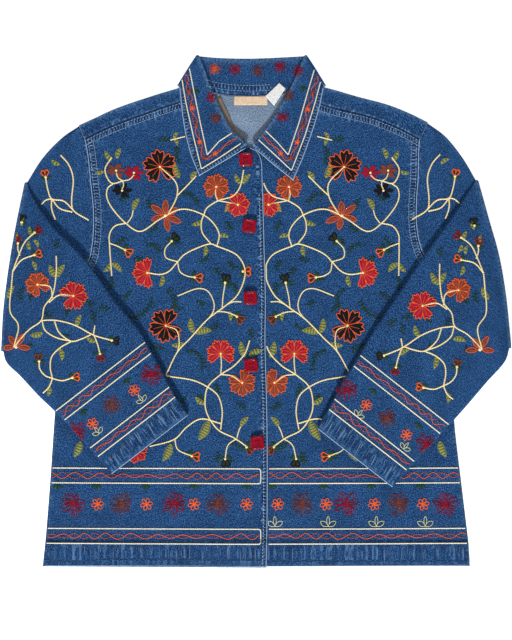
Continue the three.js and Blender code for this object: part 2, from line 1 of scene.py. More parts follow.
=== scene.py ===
import math
import bpy
import numpy as np
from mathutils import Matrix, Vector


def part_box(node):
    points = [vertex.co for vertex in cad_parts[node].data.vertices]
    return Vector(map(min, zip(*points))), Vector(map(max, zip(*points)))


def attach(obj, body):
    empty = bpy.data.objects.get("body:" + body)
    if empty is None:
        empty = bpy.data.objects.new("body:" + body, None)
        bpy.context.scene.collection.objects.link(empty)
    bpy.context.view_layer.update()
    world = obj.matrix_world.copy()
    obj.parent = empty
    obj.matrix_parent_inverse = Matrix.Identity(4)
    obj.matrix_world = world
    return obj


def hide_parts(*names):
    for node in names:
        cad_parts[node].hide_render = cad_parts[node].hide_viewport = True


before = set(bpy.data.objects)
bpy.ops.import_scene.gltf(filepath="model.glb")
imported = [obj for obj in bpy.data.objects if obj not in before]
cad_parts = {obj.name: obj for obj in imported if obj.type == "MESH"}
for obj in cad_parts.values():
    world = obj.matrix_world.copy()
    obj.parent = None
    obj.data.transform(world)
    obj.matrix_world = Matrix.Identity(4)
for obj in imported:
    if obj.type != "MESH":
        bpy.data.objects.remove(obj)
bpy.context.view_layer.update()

# Embroidered denim jacket laid flat. Tables are in millimetres, meshes in metres.
scene = bpy.context.scene
scene.view_settings.view_transform = "Standard"

# Plan outlines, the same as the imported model's, and the cloth's thicknesses
cloth = {"single": 1.0, "doubled": 1.8, "gap": 0.3, "hemTop": -312}
outlines = {
    "rightSide": [(-288, -344), (-284.5, -312), (-284.3, -309), (-278, -229), (-271, -130), (-262, -40), (-254, 40)],
    "rightArmhole": [(-254, 40), (-228, 67), (-222, 92), (-220.5, 135), (-224, 172), (-228, 211), (-232, 233)],
    "leftSide": [(288, -343.5), (286, -312), (285.8, -309), (277, -236), (268, -160), (258, -50), (249, 42)],
    "leftArmhole": [(249, 42), (225, 81), (217.5, 112.5), (217, 150), (219, 178), (220, 218), (221, 232)],
    "rightShoulderFold": [(-239, 250), (-217, 260), (-191, 272), (-145, 288), (-108, 299), (-80, 307)],
    "leftShoulderFold": [(231, 254), (209, 265), (178, 277.5), (139, 288), (99.5, 299), (69, 306)],
    "backNeck": [(-80, 307), (-58, 296), (-15, 291), (30, 294), (69, 306)],
    "rightShoulderSeam": [(-232, 233), (-191, 252), (-145, 269), (-106.5, 282), (-79, 291)],
    "leftShoulderSeam": [(221, 232), (193.5, 247), (153, 263), (99.5, 276), (70, 287)],
    "lapEdge": [(14, -345.5), (14.6, -312), (14.7, -309), (15.5, -254), (15, -140), (12.5, -39), (13, 14),
                (11, 95), (8.5, 180), (7, 204), (1, 216), (-8, 220)],
    "underEdge": [(-19, -343.5), (-19.6, -312), (-19.7, -309), (-26, -140), (-30, 14), (-34, 216)],
    "rightNeckSeam": [(-8, 220), (-42, 236), (-66, 264), (-79, 291)],
    "leftNeckSeam": [(-34, 216), (-6, 220), (34, 236), (58, 264), (70, 287)],
}
sleeveOutlines = {
    "right": {
        "outward": (-1, -0.05),
        "upperNear": [(-239, 250), (-261, 235), (-288, 207), (-309, 174)],
        "upperFar": [(-254, 40), (-298, -6), (-341, -54)],
        "elbow": [(-309, 174), (-322, 110), (-331, 56), (-338, 0), (-341, -54)],
        "foreNear": [(-309, 174), (-301, 154), (-272, 113), (-234, 74.5), (-191, 16), (-157, -26), (-129, -76),
                     (-110, -110), (-91.5, -140)],
        "foreFar": [(-341, -54), (-337, -68), (-318, -87), (-292, -115), (-272, -134), (-239, -169),
                    (-214, -197), (-194, -219)],
    },
    "left": {
        "outward": (1, -0.05),
        "upperNear": [(231, 254), (255, 236), (279, 206), (296, 177)],
        "upperFar": [(249, 42), (295, -3), (341, -50)],
        "elbow": [(296, 177), (311, 123), (324, 76), (333, 25), (341, -50)],
        "foreNear": [(296, 177), (287, 163), (264, 128), (220, 67), (200, 37), (162, -19), (137, -60),
                     (110, -105), (82, -158)],
        "foreFar": [(341, -50), (336, -66), (309, -97), (280, -131), (250, -164), (213, -204), (183, -237)],
    },
}
# Each row of the collar: neck seam, roll line, outer edge
collarRows = {
    "frontRight": [((-13, 219), (-13, 224), (-77, 182)), ((-40, 236), (-34, 243), (-89, 212)),
                   ((-62, 260), (-48, 268), (-96, 243)), ((-75, 288), (-62, 301), (-103, 284)),
                   ((-80, 309), (-77.5, 342.3), (-104, 303))],
    "back": [((-80, 309), (-77.5, 342.3), (-104, 303)), ((-58, 297), (-53, 340), (-62, 287)),
             ((-10, 292), (-7, 339), (-8, 281)), ((40, 297), (42, 341), (48, 286)),
             ((69, 308), (65, 342.3), (91.5, 302.8))],
    "frontLeft": [((69, 308), (65, 342.3), (91.5, 302.8)), ((65, 288), (51, 308), (85, 272)),
                  ((52, 260), (38, 283), (75, 239)), ((30, 235), (19, 252), (63, 206)),
                  ((-4, 219), (-4, 223), (50, 176))],
}
# Buttons: x, y and turn in degrees
buttonPlaces = [(-14.2, 204.5, 3), (-9.5, 115, -10), (-8.1, 18, 3), (-7, -73, 5), (1.6, -177, 7)]

# Low swells of the fronts, as in the model: x, y, long, wide, turn in degrees, rise
swells = [
    (-120, 90, 120, 34, -58, 0.9), (-75, -60, 110, 30, 80, 0.7), (-200, -170, 90, 36, 70, 0.8),
    (115, 100, 120, 34, 60, 0.9), (85, -40, 110, 30, -82, 0.7), (190, -180, 90, 36, -72, 0.8),
]
# Creases, uneven in length, depth and spacing
frontCreases = [
    (-196, 176, 46, 7, -62, 0.8), (-176, 168, 60, 9, -78, 0.6), (-205, 132, 30, 6, 40, 0.5),
    (-150, 196, 40, 9, -40, 0.5), (-132, 22, 70, 10, 66, 0.7), (-96, -22, 60, 8, 88, 0.5),
    (-150, -240, 50, 11, 80, 0.7), (-228, -252, 44, 9, 96, 0.8), (-76, -262, 40, 12, 84, 0.5),
    (-262, -200, 34, 7, 84, 0.6), (188, 172, 52, 8, 66, 0.8), (168, 190, 44, 9, 84, 0.6),
    (206, 126, 34, 6, -36, 0.5), (140, 208, 40, 9, 40, 0.5), (118, 30, 66, 10, -64, 0.7),
    (88, -14, 58, 9, -86, 0.5), (140, -248, 50, 10, -82, 0.7), (222, -258, 40, 8, -98, 0.8),
    (70, -250, 44, 12, -88, 0.5), (262, -208, 36, 7, -84, 0.6),
]
sleeveCreases = {
    "right": [(-318, 30, 40, 9, 62, 0.9), (-300, 96, 44, 8, 52, 0.8), (-322, -40, 34, 8, 30, 0.8),
              (-262, -20, 60, 13, -48, 0.7), (-230, -90, 56, 11, -50, 0.6), (-284, 196, 34, 8, -60, 0.9),
              (-252, 186, 40, 8, -84, 0.7), (-168, -150, 36, 9, -52, 0.5), (-264, 220, 26, 7, -40, 0.6)],
    "left": [(312, 40, 42, 9, -62, 0.9), (290, 100, 40, 8, -52, 0.8), (318, -36, 34, 8, -34, 0.8),
             (258, -26, 58, 13, 50, 0.7), (224, -96, 54, 11, 52, 0.6), (272, 192, 34, 8, 62, 0.9),
             (246, 180, 40, 8, 84, 0.7), (160, -158, 34, 9, 54, 0.5), (258, 218, 26, 7, 40, 0.6)],
}


def smooth(start, stop, value):
    # 3t^2 - 2t^3 between start and stop
    t = np.clip((value - start) / (stop - start), 0, 1)
    return t * t * (3 - 2 * t)


def stepLengths(line):
    # length of each step of a line
    return np.linalg.norm(np.diff(line, axis=0), axis=1)


def runAlong(line):
    # distance from a line's start at each of its points
    return np.concatenate([[0], np.cumsum(stepLengths(line))])


def unit(rows):
    # each vector divided by its length
    return rows / np.linalg.norm(rows, axis=-1)[..., None]


def leftward(rows):
    # plan vectors turned a quarter to the left
    return np.column_stack([-rows[:, 1], rows[:, 0]])


def heading(degrees):
    # the plan vector of length one at an angle from +X
    return np.array([math.cos(math.radians(degrees)), math.sin(math.radians(degrees))])


def spacedLine(table, steps):
    # centripetal Catmull-Rom curve through the rows, then points evenly spaced by length
    rows = np.asarray(table, float)
    rows = np.vstack([2 * rows[0] - rows[1], rows, 2 * rows[-1] - rows[-2]])
    knots = np.concatenate([[0], np.cumsum(stepLengths(rows) ** 0.5)])
    share = np.linspace(0, len(rows) - 3, (len(rows) - 3) * 24 + 1)
    k = np.minimum(share.astype(int), len(rows) - 4) + 1
    t = knots[k] + (share - (k - 1)) * (knots[k + 1] - knots[k])

    def mix(a, b, left, right):
        # from a to b as t runs between two knots
        w = ((t - knots[left]) / (knots[right] - knots[left]))[:, None]
        return a * (1 - w) + b * w

    first = mix(rows[k - 1], rows[k], k - 1, k)
    second = mix(rows[k], rows[k + 1], k, k + 1)
    third = mix(rows[k + 1], rows[k + 2], k + 1, k + 2)
    curve = mix(mix(first, second, k - 1, k + 1), mix(second, third, k, k + 2), k, k + 1)
    return resample(curve, steps)


def resample(line, steps):
    # the same line with its points at equal distances
    run = runAlong(line)
    at = np.linspace(0, run[-1], steps + 1)
    return np.stack([np.interp(at, run, line[:, k]) for k in range(line.shape[1])], axis=1)


def joined(*lines):
    # lines end to end, shared points once
    return np.vstack([lines[0]] + [line[1:] for line in lines[1:]])


def coonsPatch(low, high, near, far):
    # the surface that fills four edges: rows from low to high, columns from near to far
    v = smooth(0, 1, np.linspace(0, 1, len(near)))[:, None, None]
    u = np.linspace(0, 1, len(low))[None, :, None]
    across = low[None] * (1 - v) + high[None] * v
    sides = near[:, None] * (1 - u) + far[:, None] * u
    corners = (low[0] * (1 - u) + low[-1] * u) * (1 - v) + (high[0] * (1 - u) + high[-1] * u) * v
    return across + sides - corners


def ridges(table, x, y):
    # sum of rise times exp(-(along/long)^2 - (aside/wide)^2) over the rows of a table
    total = np.zeros_like(x)
    for cx, cy, longHalf, wideHalf, turn, rise in table:
        c, s = math.cos(math.radians(turn)), math.sin(math.radians(turn))
        along = ((x - cx) * c + (y - cy) * s) / longHalf
        aside = (-(x - cx) * s + (y - cy) * c) / wideHalf
        total += rise * np.exp(-(along ** 2 + aside ** 2))
    return total


# How the body rises over the collar's leaf under it: height, the leaf's middle, its edge as a
# parabola, and where the rise starts and ends before that edge and at the sides
leafLift = {"height": 2.1, "middle": -7, "edge": 281, "bow": 23, "half": 98, "before": (45, 17), "aside": (112, 150)}


def bodyLift(x, y, sooner=0):
    # smooth step up to the leaf's edge, faded out at the sides; sooner widens it for an upper layer
    look = leafLift
    side = np.abs(x - look["middle"])
    leafEdge = look["edge"] + look["bow"] * (side / look["half"]) ** 2
    rise = smooth(leafEdge - look["before"][0] - sooner, leafEdge - look["before"][1] - sooner, y)
    fade = 1 - smooth(look["aside"][0] + 2 * sooner, look["aside"][1] + 2 * sooner, side)
    return look["height"] * rise * fade


def bodyWall(y):
    # one layer of cloth, two at the turned-up hem
    return np.where(y < cloth["hemTop"] + 1.5, cloth["doubled"], cloth["single"])


def edgeX(name, y):
    # x of a front edge at a height, below where the lap's edge turns to the neck
    table = np.array(outlines[name][:10], float)
    return np.interp(y, table[:, 1], table[:, 0])


def creaseAt(x, y):
    # creases fade towards the overlap of the fronts
    return ridges(frontCreases, x, y) * smooth(40, 62, np.abs(x + 5))


def underFrontBottom(x, y):
    # underside of the front that lies on the back: the back's top, a gap, swells and creases
    return bodyLift(x, y, 18) + bodyWall(y) + cloth["gap"] + ridges(swells, x, y) + creaseAt(x, y)


# Where the lapping front climbs, before the hidden edge, and the heights at which both edges reach the neck
overlap = {"climb": (60, 30), "hiddenTop": 215, "lapTop": 203, "past": 8}


def lapFrontBottom(x, y):
    # the lapping front climbs over the other one's edge
    hidden = edgeX("underEdge", np.minimum(y, overlap["hiddenTop"]))
    climb = smooth(hidden - overlap["climb"][0], hidden - overlap["climb"][1], x)
    return underFrontBottom(x, y) + climb * (bodyWall(y) + cloth["gap"])


def frontTop(x, y):
    # upper face of the fronts: the lapping one as far as its edge, then the one under it
    lap = edgeX("lapEdge", np.minimum(y, overlap["lapTop"]))
    return np.where(x < lap + overlap["past"], lapFrontBottom(x, y), underFrontBottom(x, y)) + bodyWall(y)


def backTop(x, y):
    # upper face of the back
    return bodyLift(x, y) + bodyWall(y)


def newObject(name, points, quads, triangles=None, uv=None, values=None, colours=None):
    # points in mm; quads and triangles as index arrays; uv in metres, values and colours one per point
    triangles = np.zeros((0, 3), int) if triangles is None else triangles
    loops = np.concatenate([quads.ravel(), triangles.ravel()]).astype(np.int32)
    starts = np.concatenate([np.arange(len(quads)) * 4, len(quads) * 4 + np.arange(len(triangles)) * 3])
    mesh = bpy.data.meshes.new(name)
    mesh.vertices.add(len(points))
    mesh.vertices.foreach_set("co", (np.asarray(points, np.float32) * 0.001).ravel())
    mesh.loops.add(len(loops))
    mesh.loops.foreach_set("vertex_index", loops)
    mesh.polygons.add(len(starts))
    mesh.polygons.foreach_set("loop_start", starts.astype(np.int32))
    mesh.polygons.foreach_set("use_smooth", np.ones(len(starts), bool))
    mesh.update(calc_edges=True)
    if uv is not None:
        mesh.uv_layers.new(name="cloth").data.foreach_set("uv", np.asarray(uv, np.float32)[loops].ravel())
    for key, value in (values or {}).items():
        mesh.attributes.new(key, "FLOAT", "POINT").data.foreach_set("value", np.asarray(value, np.float32).ravel())
    if colours is not None:
        rgba = np.hstack([colours, np.ones((len(colours), 1))]).astype(np.float32)
        mesh.attributes.new("threadColour", "FLOAT_COLOR", "POINT").data.foreach_set("color", rgba.ravel())
    mesh.validate()
    piece = bpy.data.objects.new(name, mesh)
    scene.collection.objects.link(piece)
    return piece


def shellFaces(rows, columns, ring, kept):
    # quads of a closed wall: both layers, and rims where a cell has no neighbour
    cells = columns if ring else columns - 1
    kept = np.ones((rows - 1, cells), bool) if kept is None else kept
    j, i = np.nonzero(kept)
    nextColumn = (np.arange(cells) + 1) % columns
    padded = np.pad(kept, 1)
    if ring:
        padded[1:-1, 0], padded[1:-1, -1] = kept[:, -1], kept[:, 0]

    def corners(j, i, layers, steps):
        # the four vertex numbers of each cell's face
        columnOf = [np.where(step[1] == 1, nextColumn[i], i) for step in steps]
        return np.stack([layer * rows * columns + (j + step[0]) * columns + column
                         for layer, step, column in zip(layers, steps, columnOf)], axis=1)

    faces = [corners(j, i, (0, 0, 0, 0), ((0, 0), (0, 1), (1, 1), (1, 0))),
             corners(j, i, (1, 1, 1, 1), ((0, 0), (1, 0), (1, 1), (0, 1)))]
    rims = [((-1, 0), (1, 1, 0, 0), ((0, 0), (0, 1), (0, 1), (0, 0))),
            ((1, 0), (0, 0, 1, 1), ((1, 0), (1, 1), (1, 1), (1, 0))),
            ((0, -1), (0, 0, 1, 1), ((0, 0), (1, 0), (1, 0), (0, 0))),
            ((0, 1), (1, 1, 0, 0), ((0, 1), (1, 1), (1, 1), (0, 1)))]
    for (dj, di), layers, steps in rims:
        free = ~padded[1 + dj + j, 1 + di + i]
        faces.append(corners(j[free], i[free], layers, steps))
    return np.vstack(faces)


def clothShell(name, middle, normal, half, uv, marks, wrongSides=(0.0, 0.0), ring=False, kept=None):
    # a wall of cloth: the middle surface moved half a thickness along its normal, both ways; marks are
    # pucker, wear and run along the seam, and wrongSides tells which faces show the cloth's back
    rows, columns = middle.shape[:2]
    offset = normal * half[..., None]
    points = np.concatenate([(middle + offset).reshape(-1, 3), (middle - offset).reshape(-1, 3)])
    quads = shellFaces(rows, columns, ring, kept)
    used = np.unique(quads)
    lookup = np.zeros(len(points), int)
    lookup[used] = np.arange(len(used))
    values = {key: np.tile(np.broadcast_to(mark, (rows, columns)).ravel(), 2)[used]
              for key, mark in zip(("pucker", "wear", "seamRun"), marks)}
    values["wrongSide"] = np.repeat(wrongSides, rows * columns)[used]
    doubledUv = np.concatenate([uv.reshape(-1, 2)] * 2)[used] * 0.001
    return newObject(name, points[used], lookup[quads], uv=doubledUv, values=values)


def heightField(surface, refine=7, size=760):
    # top of a grid of points as a function of x and y: the grid is refined, the highest
    # point in each 1 mm cell is kept, and cells are read back bilinearly
    fine = surface
    for axis in (0, 1):
        fine = np.moveaxis(fine, axis, 0)
        parts = [fine[:-1] * (1 - w) + fine[1:] * w for w in np.arange(refine) / refine]
        fine = np.moveaxis(np.concatenate(parts + [fine[-1:]]), 0, axis)
    points = fine.reshape(-1, 3)
    cell = np.clip(np.round(points[:, :2] + size / 2).astype(int), 0, size - 1)
    empty = -99.0
    grid = np.full((size, size), empty)
    np.maximum.at(grid, (cell[:, 0], cell[:, 1]), points[:, 2])
    for _ in range(8):  # fills outwards from the edge
        padded = np.pad(grid, 1, constant_values=empty)
        around = np.max([padded[1 + a:size + 1 + a, 1 + b:size + 1 + b]
                         for a in (-1, 0, 1) for b in (-1, 0, 1)], axis=0)
        grid = np.where(grid < empty / 2, around, grid)
    grid = np.maximum(grid, 0)

    def read(x, y):
        # bilinear mix of the four cells round each point
        gx, gy = np.clip(x + size / 2, 0, size - 2), np.clip(y + size / 2, 0, size - 2)
        i, j = gx.astype(int), gy.astype(int)
        a, b = gx - i, gy - j
        return ((grid[i, j] * (1 - a) + grid[i + 1, j] * a) * (1 - b)
                + (grid[i, j + 1] * (1 - a) + grid[i + 1, j + 1] * a) * b)
    return read


def nearLines(x, y, lines):
    # from rows (line, width, pucker, wear): the largest pucker and wear, each times exp(-(distance/width)^2),
    # and the distance along the nearest line, which starts 1000 mm on for each next one
    pucker, wear, run = np.zeros_like(x), np.zeros_like(x), np.zeros_like(x)
    nearest = np.full_like(x, 1e9)
    offset = 0
    for line, width, puckerHere, wearHere in lines:
        line = resample(np.asarray(line, float), 48)
        best = np.full_like(x, 1e9)
        bestRun = np.zeros_like(x)
        lengths = stepLengths(line)
        for k in range(len(line) - 1):
            a, d = line[k], line[k + 1] - line[k]
            t = np.clip(((x - a[0]) * d[0] + (y - a[1]) * d[1]) / max(lengths[k] ** 2, 1e-9), 0, 1)
            distance = np.hypot(x - a[0] - t * d[0], y - a[1] - t * d[1])
            closer = distance < best
            best = np.where(closer, distance, best)
            bestRun = np.where(closer, lengths[:k].sum() + t * lengths[k], bestRun)
        pucker = np.maximum(pucker, puckerHere * np.exp(-(best / width) ** 2))
        wear = np.maximum(wear, wearHere * np.exp(-(best / (0.45 * width)) ** 2))
        run = np.where(best < nearest, bestRun + offset, run)
        nearest = np.minimum(nearest, best)
        offset += 1000
    return pucker, wear, run * 0.001


# the cloth panels, and the height of each one's upper face
panels, tops = {}, {}


def filePanel(key, piece, surface):
    # keeps a panel and the height field of its upper face
    panels[key] = piece
    tops[key] = heightField(surface)
    print("made", key, len(piece.data.polygons))


def upward(x):
    # a normal of (0, 0, 1) for each point
    return np.zeros(x.shape + (3,)) + (0, 0, 1)


def hemAndSide(table, hemRows, sideRows):
    # an edge from the hem's fold to its upper line, then on up the side
    return joined(resample(np.array(table[:3], float), hemRows), spacedLine(table[2:], sideRows))


def besideArmhole(side, offset):
    # the armhole's line moved towards the body
    line = spacedLine(outlines[side + "Armhole"], 80)
    aside = unit(leftward(np.gradient(line, axis=0)))
    sign = 1 if (aside[40, 0] > 0) == (side == "right") else -1
    return line + sign * offset * aside


# Seam marks are rows of line, width, pucker and wear; these two are the turned-up hem's
hemMarks = [([(-290, -327), (290, -327)], 15, 0.62, 0.0), ([(-290, -344), (290, -344)], 4, 0.6, 0.5)]
frontCloth = {"columns": 92, "hemRows": 12, "sideRows": 104, "armholeRows": 76, "neckRows": 48,
              "seamInset": 6, "armhole": (6.5, 1.0, 0.0), "shoulder": (6.5, 0.9, 0.0), "edge": (4.5, 1.0, 0.0),
              "side": (5, 0.4, 0.3)}


def makeFront(side):
    # a front in plan as a patch between hem, shoulder, side with armhole, and front edge with neck
    look, inset = frontCloth, frontCloth["seamInset"]
    edge, bottomAt, inward = ("lapEdge", lapFrontBottom, 1) if side == "right" else ("underEdge", underFrontBottom, -1)
    outer = joined(hemAndSide(outlines[side + "Side"], look["hemRows"], look["sideRows"]),
                   spacedLine(outlines[side + "Armhole"], look["armholeRows"]))
    edgeRows = look["sideRows"] + look["armholeRows"] - look["neckRows"]
    inner = joined(hemAndSide(outlines[edge], look["hemRows"], edgeRows),
                   spacedLine(outlines[side + "NeckSeam"], look["neckRows"]))
    hem = resample(np.array([outer[0], inner[0]]), look["columns"])
    top = spacedLine(outlines[side + "ShoulderSeam"], look["columns"])
    if inner[0, 0] < outer[0, 0]:
        outer, inner, hem, top = inner, outer, hem[::-1], top[::-1]
    plan = coonsPatch(hem, top, outer, inner)
    x, y = plan[..., 0], plan[..., 1]
    half = bodyWall(y) / 2
    middle = np.dstack([x, y, bottomAt(x, y) + half])
    marks = nearLines(x, y, [
        (besideArmhole(side, inset), *look["armhole"]),
        (np.array(outlines[side + "ShoulderSeam"], float) - (0, inset), *look["shoulder"]), *hemMarks,
        (np.array(outlines[edge][2:10], float) - (inward * inset, 0), *look["edge"]),
        (outlines[side + "Side"], *look["side"])])
    piece = clothShell("front_%s_cloth" % side, middle, upward(x), half, plan, marks, (0.0, 1.0))
    filePanel("front_" + side, piece, np.dstack([x, y, middle[..., 2] + half]))


makeFront("right")
makeFront("left")

backCloth = {"perShoulder": 44, "perNeck": 40, "hemRows": 10, "sideRows": 72, "armholeRows": 52, "tipRows": 5,
             "turnRadius": 0.65, "half": 0.5, "seamOverlap": 0.4, "rowLength": 2.2}
backMarks = {"rightShoulderSeam": (6, 0.8, 0.2), "leftShoulderSeam": (6, 0.8, 0.2),
             "rightShoulderFold": (5, 0.3, 0.5), "leftShoulderFold": (5, 0.3, 0.5), "backNeck": (6, 0.9, 0.0),
             "rightArmhole": (5, 0.7, 0.2), "leftArmhole": (5, 0.7, 0.2)}


def makeBack():
    # one panel that turns forward over each shoulder down to the forward seam
    look, perShoulder, perNeck = backCloth, backCloth["perShoulder"], backCloth["perNeck"]
    columns = 2 * perShoulder + perNeck

    def sideLine(side):
        # hem, side, armhole and the short step up to the shoulder's fold
        armhole = outlines[side + "Armhole"]
        tip = np.array([armhole[-1], outlines[side + "ShoulderFold"][0]], float)
        return joined(hemAndSide(outlines[side + "Side"], look["hemRows"], look["sideRows"]),
                      spacedLine(armhole, look["armholeRows"]), resample(tip, look["tipRows"]))

    def overShoulders(kind, neck):
        # right shoulder, neck and left shoulder as one line
        return joined(spacedLine(outlines["rightShoulder" + kind], perShoulder), neck,
                      spacedLine(outlines["leftShoulder" + kind], perShoulder)[::-1])

    near, far = sideLine("right"), sideLine("left")
    top = overShoulders("Fold", spacedLine(outlines["backNeck"], perNeck))
    seamEnds = np.array([outlines["rightShoulderSeam"][-1], outlines["leftShoulderSeam"][-1]], float)
    seam = overShoulders("Seam", resample(seamEnds, perNeck))
    hem = spacedLine([near[0], (0, -344.5), far[0]], columns)
    plan = coonsPatch(hem, top, near, far)
    x, y = plan[..., 0], plan[..., 1]
    half = bodyWall(y) / 2
    middle = np.dstack([x, y, bodyLift(x, y) + half])
    outward = unit(top - seam)
    radius, wall = look["turnRadius"], look["half"]
    turns = np.radians(np.arange(15, 181, 15))[:, None]
    turned = top[None] + outward[None] * (radius * np.sin(turns))[..., None]
    turnedZ = bodyLift(top[:, 0], top[:, 1]) + wall + radius * (1 - np.cos(turns))
    turnNormal = np.concatenate([-outward[None] * np.sin(turns)[..., None],
                                 np.broadcast_to(np.cos(turns)[..., None], turned.shape[:2] + (1,))], axis=2)
    shares = np.linspace(0, 1, 9)[1:, None, None]
    strip = top[None] * (1 - shares) + (seam + outward * look["seamOverlap"])[None] * shares
    stripZ = underFrontBottom(strip[..., 0], strip[..., 1]) + wall
    allMiddle = np.vstack([middle, np.dstack([turned, turnedZ]), np.dstack([strip, stripZ])])
    allNormal = np.vstack([upward(x), turnNormal, -upward(strip[..., 0])])
    rows = len(allMiddle)
    allHalf = np.vstack([half, np.full((rows - len(half), columns + 1), wall)])
    kept = np.ones((rows - 1, columns), bool)
    kept[len(middle) - 1:, perShoulder:perShoulder + perNeck] = False
    folded = np.clip(np.arange(rows) - len(middle), 0, None)[:, None] * look["rowLength"]
    uv = np.dstack([allMiddle[..., 0], allMiddle[..., 1]])
    uv[len(middle):, :, 1] = uv[len(middle) - 1, :, 1] + folded[len(middle):]
    lines = hemMarks + [(outlines[name], *mark) for name, mark in backMarks.items()]
    marks = nearLines(allMiddle[..., 0], allMiddle[..., 1], lines)
    piece = clothShell("back_panel", allMiddle, allNormal, allHalf, uv, marks, (1.0, 0.0), kept=kept)
    filePanel("back", piece, allMiddle + np.abs(allNormal[..., 2:]) * (0, 0, wall))


makeBack()

# Half thicknesses of the flat tube in mm: at the armhole, gained towards the elbow, at the elbow and
# gained along the forearm; puff is what the middle adds, crease what each crease adds
sleeveCloth = {"across": 52, "upperRows": 40, "foreRows": 84, "turnSteps": 10, "edgeTurns": 7, "armholeGap": 0.3,
               "armholeHalf": 1.15, "upperGain": 0.45, "upperPuff": 0.2, "upperCrease": 0.35,
               "elbowHalf": 1.6, "elbowRadius": 1.75, "foreGain": 2.2, "forePuff": 1.3, "foreCrease": 0.7,
               "foreBottom": 3.5, "foreSettle": 0.4, "cuff": 30.6}
# peak, place and width of each pucker and wear
sleeveMarks = {"armholePucker": (0.8, 4), "cuffPucker": (0.75, 14, 13), "sidePucker": (0.5, 3), "sideEnd": 120,
               "cuffWear": (0.5, 1, 2), "elbowWear": (0.3, 4)}


